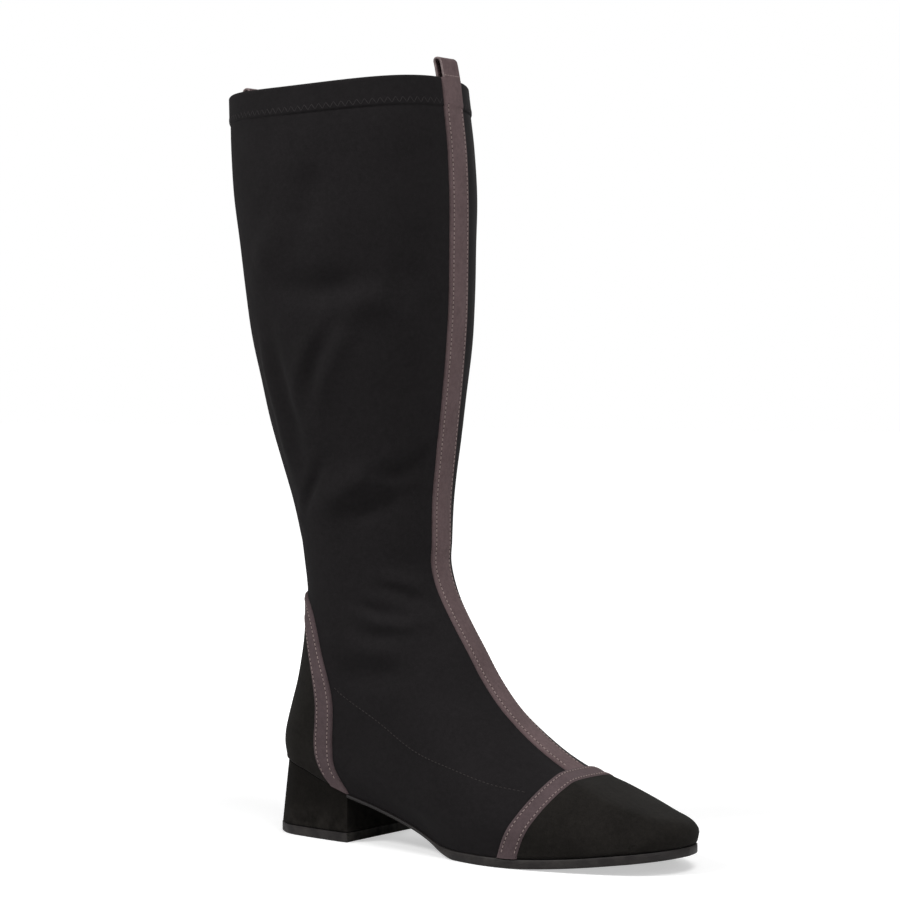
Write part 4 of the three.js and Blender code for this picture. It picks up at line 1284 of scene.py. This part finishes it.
def pull_loop(name, way, nodes, outer, leg_out, shift):
    inner = -WALL - GAP
    out, up = loop_path(outer, inner, leg_out, LOOP_LEG)
    rim_z = float(bare_skin(2.0, 0.5 if way > 0 else 0.0)[2])
    lean = LOOP_LEAN * np.maximum(up, 0)
    centre = np.stack([leg_edge(SHAFT_HEIGHT + up, way) + way * (out - lean), 0 * up, rim_z + up], axis=1)
    along = unit(np.gradient(centre, axis=0))
    through = np.stack([along[:, 2], np.zeros(len(along)), -along[:, 0]], axis=1)
    section = strap_section(LOOP_WIDTH, STRAP)
    bow = section[:, 0] ** 2 / CALF_WIDTH
    held = ease(1 - (up + 2) / 10)[:, None]
    points = centre[:, None] + through[:, None] * section[None, :, 1:2]
    points[..., 1] += section[None, :, 0] + shift
    points[..., 0] -= way * bow[None] * held
    rows, cols = len(centre), len(section)
    faces = rod_faces(rows, cols)
    # The strap's narrow edges and its two ends take the lighter suede with the painted highlight.
    highlight_edges = np.abs(section[:, 0]) + np.abs(np.roll(section[:, 0], -1)) > LOOP_WIDTH - STRAP
    marks = np.append(np.tile(highlight_edges.astype(int), rows - 1), [1, 1])
    add_piece(name, "boot", nodes, points.reshape(-1, 3), faces, [grey_suede, edge_highlight_suede],
              face_slots=marks)
    return points


# Sole
BREAST_TURN = math.acos(1 - 2 * (BREAST + GAP - SEAT_X) / (TOE_X - SEAT_X)) / (2 * math.pi)


def feather_ring(turn, out):
    """The feather line moved out by a distance."""
    level = np.zeros_like(turn)
    return bare_skin(level, turn) + outward(level, turn) * out


def outsole():
    turn = np.linspace(BREAST_TURN, 1 - BREAST_TURN, 260)
    top_profile = [(-4, 0), (0.5, 0), (0.95, 0.12), (WELT, 0.45)]
    bottom_profile = [(WELT, 0.5), (1.0, 0.15), (0.5, 0)]
    profile = [(*row, False) for row in top_profile] + [(*row, True) for row in bottom_profile]
    rings = []
    for out, inset, bottom in profile:
        ring = feather_ring(turn, out)
        high = feather_height(ring[:, 0]) - GAP
        low = bottom_height(ring[:, 0])
        ring[:, 2] = low + inset if bottom else high - inset
        rings.append(ring)
    edge_rows = len(rings)
    last = rings[-1]
    for share in (0.1, 0.25, 0.45, 0.7, 1.0):
        ring = last.copy()
        ring[:, 1] *= 1 - share
        rings.append(ring)
    first = rings[0].copy()
    first[:, 1] = 0
    rings.insert(0, first)
    points = np.array(rings)
    rows, cols = points.shape[:2]
    row_of = np.repeat(np.arange(rows - 1), cols - 1)
    # The edge faces take the lighter rubber with painted light; the underside takes the plain rubber.
    marks = np.where(row_of > edge_rows - 1, 1, 0)
    add_piece("forefoot_sole", "boot", ["outsole"], points.reshape(-1, 3),
              grid_faces(rows, cols), [sole_edge_painted_light, rubber], face_slots=marks, sharp=40, weld=False)


HEEL_COLUMNS = 121
BREAST_HOLLOW = 2.2
HEEL_TURN = math.acos(1 - 2 * (BREAST - SEAT_X) / (TOE_X - SEAT_X)) / (2 * math.pi)


def heel_ring(out, height, rake, hollow, inset):
    """A closed ring of the heel: round the back, then across the breast."""
    turn = np.linspace(-HEEL_TURN, HEEL_TURN, HEEL_COLUMNS)
    ring = feather_ring(turn, out - inset)
    base_x = ring[:, 0].copy()
    z = height(base_x)
    ring[:, 0] = np.minimum(base_x - rake * (1 - base_x / BREAST), BREAST - inset)
    ring[:, 2] = z
    share = np.linspace(0, 1, 26)[1:-1]
    a, b = ring[-1], ring[0]
    across = mix(a[None], b[None], share[:, None])
    across[:, 0] = BREAST - inset - hollow * (1 - (2 * share - 1) ** 2)
    across[:, 2] = height(np.full(len(share), BREAST - 0.01))
    return np.concatenate([ring, across])


def heel():
    foot = TOP_PIECE_THICKNESS + GAP
    # Rows by their share of the height, inset and lift
    rows = [(0, 0.5, 0), (0, 0.08, 0.35)] + [(up, 0, 0) for up in (0.02, *np.linspace(0.06, 0.97, 14), 1)]
    rings = []
    for up, inset, lift in rows:
        def height(x, up=up, lift=lift):
            top = np.maximum(feather_height(x), foot + 2 * GAP) - GAP
            return mix(foot, top, up) + lift
        hollow = BREAST_HOLLOW * math.sin(math.pi * up) ** 0.7
        rings.append(heel_ring(GAP, height, HEEL_RAKE * (1 - up), hollow, inset))
    centre = rings[0].copy()
    centre[:, :2] = centre[:, :2].mean(axis=0)
    rings.insert(0, centre)
    lid = rings[-1].copy()
    lid[:, 1] = 0
    rings.append(lid)
    points = np.array(rings)
    add_piece("heel_wrap", "boot", ["heel_block"], points.reshape(-1, 3),
              grid_faces(*points.shape[:2], round_=True), [heel_suede], sharp=42)

    rings = []
    for z, inset in [(0.0, 0.5), (0.35, 0.08), (0.8, 0.0), (TOP_PIECE_THICKNESS - 0.5, 0.0),
                     (TOP_PIECE_THICKNESS - 0.1, 0.1), (TOP_PIECE_THICKNESS, 0.45)]:
        rings.append(heel_ring(2 * GAP, lambda x, z=z: np.full(np.shape(x), z), HEEL_RAKE, 0.0, inset))
    for row, at in ((0, 0), (-1, len(rings) + 1)):
        lid = rings[row].copy()
        lid[:, :2] = lid[:, :2].mean(axis=0)
        rings.insert(at, lid)
    points = np.array(rings)
    rows, cols = points.shape[:2]
    # The faces round the back take the lighter rubber with painted light; the breast and the bottom take the
    # plain rubber.
    at_side = (np.arange(rows - 1)[:, None] > 0) & (np.arange(cols)[None] < HEEL_COLUMNS - 1)
    marks = np.where(at_side, 0, 1).ravel()
    add_piece("heel_top_piece_rubber", "boot", ["heel_top_piece"], points.reshape(-1, 3),
              grid_faces(rows, cols, round_=True), [sole_edge_painted_light, rubber], face_slots=marks, sharp=40,
              weld=False)


SOCK_WIDTH = 50
SOCK_EDGE = 0.4
SOCK_CUP = 0.7


def insole():
    """The sock, raised a little towards its sides and thin at its edges."""
    turn = np.linspace(0, 0.5, 110)
    inset = -WALL - 4 * GAP
    outer = feather_ring(turn, inset)
    inner = feather_ring(1 - turn, inset)
    share, height = rounded(15, SOCK_WIDTH, 1)
    low = mix(outer[:, None], inner[:, None], share[None, :, None])
    base = feather_height(low[..., 0])
    low[..., 2] = base
    high = low.copy()
    cup = SOCK_CUP * (2 * share[None] - 1) ** 2
    thick = INSOLE_THICKNESS * np.clip(height[None], SOCK_EDGE, 1) - SOCK_CUP
    high[..., 2] = base + thick + cup * np.clip(height[None], 0, 1)
    points = np.concatenate([high.reshape(-1, 3), low.reshape(-1, 3)])
    add_piece("insole_sock", "boot", ["insole"], points, sheet_faces(*low.shape[:2]),
              [sock_leather])


# Zip
TAPE_FACE = -WALL - GAP
TAPE_THICKNESS = 0.8
COIL_HALF = 2.5
COIL_PITCH = 1.5
COIL_FACE = -0.95
COIL_THREAD = 0.52
COIL_SLANT = 0.55
COIL_LAP = 0.35
TEETH_TOP = SHAFT_HEIGHT - 2 * GAP - SLIDER_DROP


def zip_levels(low, high, count):
    """Evenly spaced levels between two heights along the zip."""
    dense = np.linspace(0.25, 2, 500)
    z = bare_skin(dense, zip_turn(dense))[:, 2]
    return np.interp(np.linspace(low, high, count), z, dense)


def zip_tapes():
    level = zip_levels(ZIP_END - TAPE_WIDTH / 4, SHAFT_HEIGHT - 2 * GAP - SLIDER_THICKNESS, 220)
    points, faces, start = [], [], 0
    uv = []
    for way in (-1, 1):
        offsets = np.linspace(0.1, TAPE_WIDTH / 2, 9) * way
        turn = np.stack([zip_turn(level, o) for o in offsets], axis=1)
        levels = np.repeat(level[:, None], len(offsets), axis=1)
        sheets = [skin(levels, turn, np.full(turn.shape, TAPE_FACE)),
                  skin(levels, turn, np.full(turn.shape, TAPE_FACE - TAPE_THICKNESS))]
        for sheet in sheets:
            points.append(sheet.reshape(-1, 3))
            across = np.broadcast_to(offsets, turn.shape)
            uv.append(np.stack([across, levels * TAPE_RISE], axis=-1).reshape(-1, 2))
        faces.append(sheet_faces(*turn.shape, start))
        start += 2 * turn.size
    add_piece("zip_tapes", "boot", ["zip_tape"], np.concatenate(points), np.concatenate(faces),
              [tape_cloth], np.concatenate(uv), sharp=60)


def zip_coil():
    count = int((TEETH_TOP - ZIP_END - GAP) / COIL_PITCH)
    height = ZIP_END + GAP + (np.arange(count) + 0.5) * COIL_PITCH
    parts = []
    for way in (-1, 1):
        z = height + (COIL_PITCH / 2 if way > 0 else 0)
        outer_level = np.interp(z, *zip_heights)
        inner_level = np.interp(z + COIL_SLANT, *zip_heights)
        outer = skin(outer_level, zip_turn(outer_level, way * COIL_HALF), np.full(count, COIL_FACE - 0.2))
        inner = skin(inner_level, zip_turn(inner_level, -way * COIL_LAP), np.full(count, COIL_FACE))
        normal = outward(outer_level, zip_turn(outer_level, way * 1.0))
        parts.append(stitches(outer, inner, normal, COIL_THREAD))
    level = zip_levels(ZIP_END + GAP, TEETH_TOP, 120)
    share = np.linspace(-1, 1, 7)
    turn = np.stack([zip_turn(level, s * COIL_HALF * 0.96) for s in share], axis=1)
    lines = np.stack([np.repeat(level[:, None], 7, axis=1), turn], axis=-1)
    bed, bed_faces = slab(lines, np.full(turn.shape, COIL_FACE - 0.45), TAPE_FACE + 0.02)
    parts.append((bed, bed_faces.tolist()))
    points, faces = joined(parts)
    add_piece("zip_coil", "boot", ["zip_teeth"], points, faces, [coil], weld=False)


def zip_stitching():
    level = zip_levels(ZIP_END + 1, SHAFT_HEIGHT - 12, 300)
    parts = []
    for offset in (-3.1, 3.1):
        line = np.stack([level, zip_turn(level, offset)], axis=1)
        parts.append(stitch_row(line, TAPE_FACE + 0.08, 2.0, 1.5, 0.18))
    points, faces = joined(parts)
    add_piece("tape_stitching", "boot", [], points, faces, [black_thread], weld=False)


dense_levels = np.linspace(0.2, 2, 600)
zip_heights = (bare_skin(dense_levels, zip_turn(dense_levels))[:, 2], dense_levels)

# Slider and pull tab in the slider's frame: X along the boot, Y out of it and Z up the zip
seat_height = SHAFT_HEIGHT - SLIDER_DROP - SLIDER_LENGTH / 2
seat_level = 1 + (seat_height - ANKLE_HEIGHT) / LEG_LENGTH
seat_middle, seat_depth, _ = leg_oval(seat_height)
seat_share = (float(zip_x(seat_height)) - seat_middle) / seat_depth + 0.5
seat_turn = float(turn_of(seat_share, INNER))
seat_point = bare_skin(seat_level, seat_turn)
seat_out = outward(seat_level, seat_turn)
seat_along = bare_skin(seat_level + SLOPE_STEP, seat_turn) - bare_skin(seat_level - SLOPE_STEP, seat_turn)
seat_across = unit(np.cross(seat_out, seat_along))
seat_rise = unit(np.cross(seat_across, seat_out))
PIN_HEIGHT = SLIDER_THICKNESS + GAP + PIN / 2


def seated(points):
    points = np.asarray(points, float)
    flat = points[..., :1] * seat_across + points[..., 2:] * seat_rise
    return seat_point + flat + points[..., 1:2] * seat_out


def rounded_outline(corners, radius, steps=4):
    """A convex outline with rounded corners."""
    corners = np.array(corners, float)
    result = []
    for before, here, after in zip(np.roll(corners, 1, 0), corners, np.roll(corners, -1, 0)):
        a, b = unit(before - here), unit(after - here)
        for t in np.linspace(0, 1, steps + 1):
            p, q = here + a * radius, here + b * radius
            result.append((1 - t) ** 2 * p + 2 * t * (1 - t) * here + t ** 2 * q)
    return np.array(result)


def plate(outline, levels):
    """A solid over an outline in (X, Z), with (height out, inset) rows."""
    middle = outline.mean(axis=0)
    rings = []
    for out, inset in levels:
        ring = outline + unit(middle - outline) * inset
        rings.append(np.stack([ring[:, 0], np.full(len(ring), out), ring[:, 1]], axis=1))
    return np.concatenate(rings), rod_faces(len(rings), len(outline))


def zip_slider():
    half = SLIDER_LENGTH / 2
    wide = SLIDER_WIDTH / 2
    corners = [(-wide, half), (-wide, half / 3), (-SLIDER_WIDTH / 3, -half), (SLIDER_WIDTH / 3, -half),
               (wide, half / 3), (wide, half)]
    outline = rounded_outline(corners, 1.1)
    top = plate(outline, [(1.0, 0.15), (1.15, 0.0), (1.7, 0.0), (2.0, 0.25), (SLIDER_THICKNESS, 0.7)])
    low = plate(outline, [(-1.2, 0.4), (-1.0, 0.1), (0.1, 0.0), (0.3, 0.1)])
    post_corners = [(-1.1, half), (-1.1, 1.5), (1.1, 1.5), (1.1, half)]
    post = plate(rounded_outline(post_corners, 0.5), [(-0.5, 0), (1.5, 0)])
    clear = PIN_HEIGHT + PIN / 2 + GAP + BRIDGE_METAL / 2
    reach = (BRIDGE_SPAN + BRIDGE_METAL) / 2
    turns = np.linspace(0, np.pi / 2, 6)
    bend = 1.1
    side = [(reach, 1.4), (reach, clear - bend)]
    arc = [(reach - bend + bend * math.cos(a), clear - bend + bend * math.sin(a)) for a in turns[1:]]
    path = np.array(side + arc)
    path = np.concatenate([path, path[::-1] * [-1, 1]])
    along = unit(np.gradient(path, axis=0))
    normal = np.stack([along[:, 1], -along[:, 0]], axis=1)
    section = strap_section(BRIDGE_WIDTH, BRIDGE_METAL * 0.9)
    section = section[np.abs(section[:, 0]) > BRIDGE_WIDTH / 2 - BRIDGE_METAL]
    rings = []
    for (up, out), (n_up, n_out) in zip(path, normal):
        through = section[:, 1]
        rings.append(np.stack([section[:, 0], out + n_out * through, up + n_up * through], axis=1))
    bridge = np.concatenate(rings), rod_faces(len(rings), len(section))
    points, faces = joined([top, low, post, bridge])
    add_piece("slider", "boot", ["zip_slider"], seated(points), faces, [metal], sharp=35,
              weld=False)


def tab_outline(half_width, top, bottom, corner, count):
    """A rounded rectangle in (X, Z) as evenly spaced points."""
    corners = [(-half_width, bottom), (half_width, bottom), (half_width, top), (-half_width, top)]
    outline = rounded_outline(corners, corner, 5)
    outline = np.concatenate([outline, outline[:1]])
    run = run_of(outline)
    at = np.linspace(0, run[-1], count, endpoint=False)
    return np.stack([np.interp(at, run, outline[:, k]) for k in range(2)], axis=1)


def pull_tab():
    half_eye = BRIDGE_WIDTH / 2 + GAP
    top = PIN / 2
    bottom = -TAB_LENGTH + PIN / 2
    count = 72
    outer = tab_outline(TAB_WIDTH / 2, top, bottom, 1.3, count)
    eye = tab_outline(half_eye, -PIN / 2, -PIN / 2 - TAB_EYE, 0.6, count)
    thin, full = 0.3, PIN / 2
    worn = 0.36
    rows = [(0.0, -thin), (0.2, -full), (0.32, -full), (0.6, -full), (0.72, -worn), (0.86, -worn),
            (0.9, -full), (0.94, -full), (1.0, -thin)]
    rings = []
    for share, out in rows + [(s, -o) for s, o in rows[::-1]]:
        flat = mix(eye, outer, share)
        rings.append(np.stack([flat[:, 0], np.full(count, PIN_HEIGHT + out), flat[:, 1]], axis=1))
    points = np.concatenate(rings)
    faces = grid_faces(len(rings), count, round_=True, loop=True)
    add_piece("pull_tab_metal", "pull_tab", ["zip_pull_tab"], seated(points), faces.tolist(),
              [metal], sharp=35, weld=False)


# Stitching
ROW_INSET = 2.2
ROW_DROP = 12
HOLE = 0.24
ROW_LIFT = 0.02
TOE_ROW_END = 4
HEEL_ROW_END = 10


def inner_line(first, second, width, inset):
    """A line beside the first edge of a band, towards the second."""
    return mix(first, second, inset / width)


def strip_line(low, y):
    level = np.linspace(low + STRIP_ROW_START, 2 - ROW_DROP / LEG_LENGTH, 500)
    return np.stack([level, across_ridge(level, np.full(level.shape, y))], axis=1)


def on_face(line, base):
    """Stitches along a line over the trim, which follow the step of the hem, and small dark marks of painted
    shade at the needle holes between them."""
    dense = even(line, 1400)
    places = seam(dense, base + hem_lift(dense[:, 0]))
    middles = np.arange(STITCH_PITCH / 2, places[0][-1] - STITCH_PITCH, STITCH_PITCH)
    threads = threads_at(middles, STITCH_LENGTH, THREAD, *places)
    hole_shades = threads_at(middles + STITCH_PITCH / 2, 2 * HOLE, HOLE, *places)
    return threads, hole_shades


def trim_stitching(toe_lines, heel_lines, low):
    rows = []
    for first, second in (toe_lines, toe_lines[::-1]):
        line = inner_line(first, second, TOE_BAND_WIDTH, ROW_INSET)[TOE_ROW_END:-TOE_ROW_END]
        rows.append(on_face(line, BAND_TOP + ROW_LIFT))
    for first, second in (heel_lines, heel_lines[::-1]):
        line = inner_line(first, second, HEEL_BAND_WIDTH, ROW_INSET)[HEEL_ROW_END:-HEEL_ROW_END]
        rows.append(on_face(line, BAND_TOP + ROW_LIFT))
    for way in (-1, 1):
        y = STRIP_SHIFT + way * (STRIP_WIDTH / 2 - ROW_INSET)
        rows.append(on_face(strip_line(low, y), SUEDE_TOP + ROW_LIFT))
    points, faces = joined([threads for threads, _ in rows])
    add_piece("trim_stitching", "boot", [], points, faces, [grey_thread], weld=False)
    # The dark marks at the needle holes are painted shade.
    points, faces = joined([hole_shades for _, hole_shades in rows])
    add_piece("painted_shade_holes", "boot", [], points, faces, [hole_shade], weld=False)


def side_lines():
    """The seam over the outer side and its mirror image, between the two bands."""
    lines = []
    for side in (OUTER, INNER):
        x, z = path_through(SIDE_SEAM, ANKLE_HEIGHT)(np.linspace(0, 1, 300))
        level, share = place_of(x, z, side)
        lines.append(np.stack([level, turn_of(share, side)], axis=1))
    return lines


FACING = 8.5
FACING_END = 6
ZIG_DROP = 12.5
ZIG_HALF = 1.5
ZIG_PITCH = 2.0


def facing_line():
    """Stitching down behind the zip, round its end and up in front of it."""
    level = zip_levels(ZIP_END + 3, SHAFT_HEIGHT - HEM_HEIGHT - 1, 300)
    rear = np.stack([level, zip_turn(level, -FACING)], axis=1)
    front = np.stack([level, zip_turn(level, FACING)], axis=1)
    angle = np.linspace(0, np.pi, 30)[1:-1]
    x = -FACING * np.cos(angle)
    z = ZIP_END + 3 - FACING_END * np.sin(angle)
    under = np.interp(z, *zip_heights)
    round_end = np.stack([under, zip_turn(under, x)], axis=1)
    return np.concatenate([rear[::-1], round_end, front])


def cloth_stitching():
    parts = [stitch_row(line, 0.0) for line in side_lines()]
    parts.append(stitch_row(facing_line(), 0.0))
    level = zip_levels(ZIP_END + 8, SHAFT_HEIGHT - HEM_HEIGHT - 1, 300)
    parts.append(stitch_row(np.stack([level, zip_turn(level, FACING + 7)], axis=1), 0.0))
    points, faces = joined(parts)
    add_piece("cloth_stitching", "boot", [], points, faces, [seam_thread], weld=False)


def hem_zigzag():
    level = 2 - ZIG_DROP / LEG_LENGTH
    rear, front = slot_turns(np.array([level]), np.array([SLOT_WIDTH / 2 + 2.5]))
    line = np.stack([np.full(900, level), np.linspace(rear[0], front[0], 900)], axis=1)
    run = run_of(skin(line[:, 0], line[:, 1]))
    count = int(run[-1] / ZIG_PITCH)
    turn = np.interp(np.linspace(0, run[-1], count + 1), run, line[:, 1])
    swing = ZIG_HALF / LEG_LENGTH * np.where(np.arange(count + 1) % 2, 1, -1)
    corners = skin(level + swing, turn, np.full(count + 1, HEM_STEP - 0.02))
    middle_turn = (turn[1:] + turn[:-1]) / 2
    middle_y = (corners[1:, 1] + corners[:-1, 1]) / 2
    normals = outward(np.full(count, level), middle_turn)
    under_strip = (np.abs(middle_turn - 0.5) < 0.1) & (np.abs(middle_y - STRIP_SHIFT) < STRIP_WIDTH / 2 + 0.5)
    under_loop = (np.abs(middle_turn) < 0.1) & (np.abs(middle_y) < LOOP_WIDTH / 2 + 0.5)
    free = ~(under_strip | under_loop)
    step = corners[1:] - corners[:-1]
    starts, ends = corners[:-1] - step * 0.06, corners[1:] + step * 0.06
    points, faces = stitches(starts[free], ends[free], normals[free], 0.2)
    add_piece("hem_zigzag", "boot", [], points, faces, [hem_thread], weld=False)


def loop_stitching(front_loop, back_loop):
    """Short rows across the loops, where they leave the rim."""
    parts = []
    rows = ((front_loop, 1, STRIP_SHIFT, (1.2,)), (back_loop, -1, 0.0, (-1.5, -12.0)))
    for points, way, shift, ups in rows:
        rim_z = float(bare_skin(2.0, 0.5 if way > 0 else 0.0)[2])
        outer_half = points[:20]
        heights = outer_half[:, :, 2].mean(axis=1)
        for up in ups:
            row = int(np.argmin(np.abs(heights - rim_z - up)))
            ring = points[row]
            outside = ring[np.argsort(ring[:, 0] * -way)[: len(ring) // 2]]
            outside = outside[np.argsort(outside[:, 1])]
            y = np.arange(-LOOP_WIDTH / 2 + 1.6, LOOP_WIDTH / 2 - 1.2, 2.2) + shift
            x = np.interp(y, outside[:, 1], outside[:, 0])
            centre = np.stack([x, y, np.full(len(y), rim_z + up)], axis=1)
            half = np.array([0, 0.85, 0])
            normal = np.repeat([[float(way), 0, 0]], len(y), axis=0)
            parts.append(stitches(centre - half, centre + half, normal, THREAD))
    points, faces = joined(parts)
    add_piece("loop_stitching", "boot", [], points, faces, [grey_thread], weld=False)


upper_fabric()
shaft_lining()
toe_lines = toe_band()
toe_cap(*toe_lines)
heel_lines = heel_band()
heel_counter(*heel_lines)
strip_low = front_strip(toe_lines[0])
front_loop = pull_loop("front_loop", 1, [], HEM_STEP, 2, STRIP_SHIFT)
back_loop = pull_loop("back_loop_suede", -1, ["back_pull_loop"], HEM_STEP + GAP, LOOP_LEG, 0)
outsole()
heel()
insole()
zip_tapes()
zip_coil()
zip_stitching()
zip_slider()
pull_tab()
trim_stitching(toe_lines, heel_lines, strip_low)
cloth_stitching()
hem_zigzag()
loop_stitching(front_loop, back_loop)


# Floor, world, lights and camera
def studio_floor():
    """A pale floor that runs into the white backdrop away from the boot."""
    material = finish("studio_floor", (0.72, 0.72, 0.72, 1), 0.9, specular=0.0)
    tree = material.node_tree
    place = tree.nodes.new("ShaderNodeTexCoord").outputs["Object"]
    away = tree.nodes.new("ShaderNodeVectorMath")
    away.operation = "LENGTH"
    tree.links.new(place, away.inputs[0])
    fade = tree.nodes.new("ShaderNodeMapRange")
    for label, value in (("From Min", 0.2), ("From Max", 0.8), ("To Min", 0.5), ("To Max", 1.0)):
        fade.inputs[label].default_value = value
    tree.links.new(away.outputs["Value"], fade.inputs["Value"])
    shader = tree.nodes["Principled BSDF"]
    seen = tree.nodes.new("ShaderNodeLightPath").outputs["Is Camera Ray"]
    tree.links.new(number(tree, "MULTIPLY", fade.outputs["Result"], seen), shader.inputs["Emission Color"])
    shader.inputs["Emission Strength"].default_value = 1.0
    return material


def floor():
    mesh = bpy.data.meshes.new("floor")
    size = 12.0
    corners = [(-size, -size, 0), (size, -size, 0), (size, size, 0), (-size, size, 0)]
    mesh.from_pydata(corners, [], [(0, 1, 2, 3)])
    mesh.materials.append(studio_floor())
    ground = bpy.data.objects.new("floor", mesh)
    bpy.context.scene.collection.objects.link(ground)


def backdrop():
    """White where the camera sees it, dimmer as a light on the boot."""
    world = bpy.data.worlds.new("studio")
    world.use_nodes = True
    tree = world.node_tree
    light = tree.nodes["Background"]
    light.inputs["Color"].default_value = (1, 1, 1, 1)
    light.inputs["Strength"].default_value = 0.17
    seen = tree.nodes.new("ShaderNodeBackground")
    seen.inputs["Color"].default_value = (1, 1, 1, 1)
    seen.inputs["Strength"].default_value = 1.0
    ray = tree.nodes.new("ShaderNodeLightPath")
    blend = tree.nodes.new("ShaderNodeMixShader")
    tree.links.new(ray.outputs["Is Camera Ray"], blend.inputs["Fac"])
    tree.links.new(light.outputs[0], blend.inputs[1])
    tree.links.new(seen.outputs[0], blend.inputs[2])
    tree.links.new(blend.outputs[0], tree.nodes["World Output"].inputs["Surface"])
    bpy.context.scene.world = world


def area_light(name, place, aim, size, power):
    lamp = bpy.data.lights.new(name, "AREA")
    lamp.shape = "RECTANGLE"
    lamp.size, lamp.size_y = size
    lamp.energy = power
    light = bpy.data.objects.new(name, lamp)
    light.location = place
    light.rotation_euler = (Vector(aim) - Vector(place)).to_track_quat("-Z", "Y").to_euler()
    bpy.context.scene.collection.objects.link(light)


def camera():
    """Seen from the front outer quarter, a little above the boot's middle."""
    eye = Vector((0.8426, -1.1753, 0.2398))
    aim = Vector((-0.005, 0.0, 0.207))
    data = bpy.data.cameras.new("camera")
    data.lens = 110.7
    data.sensor_width = 36
    view = bpy.data.objects.new("camera", data)
    view.location = eye
    view.rotation_euler = (aim - eye).to_track_quat("-Z", "Y").to_euler()
    bpy.context.scene.collection.objects.link(view)
    bpy.context.scene.camera = view


floor()
backdrop()
area_light("key", (-0.8, -1.2, 1.5), (0, 0, 0.42), (0.5, 0.5), 20)
area_light("top", (0.75, -0.35, 1.8), (0.05, 0, 0.15), (0.8, 0.8), 15)
area_light("inner side", (-0.5, 1.6, 1.1), (0, 0, 0.25), (1.0, 1.0), 9)
area_light("front", (1.9, -0.3, 1.0), (0, 0, 0.25), (1.0, 1.2), 7)
bpy.context.scene.view_settings.view_transform = "Standard"
camera()
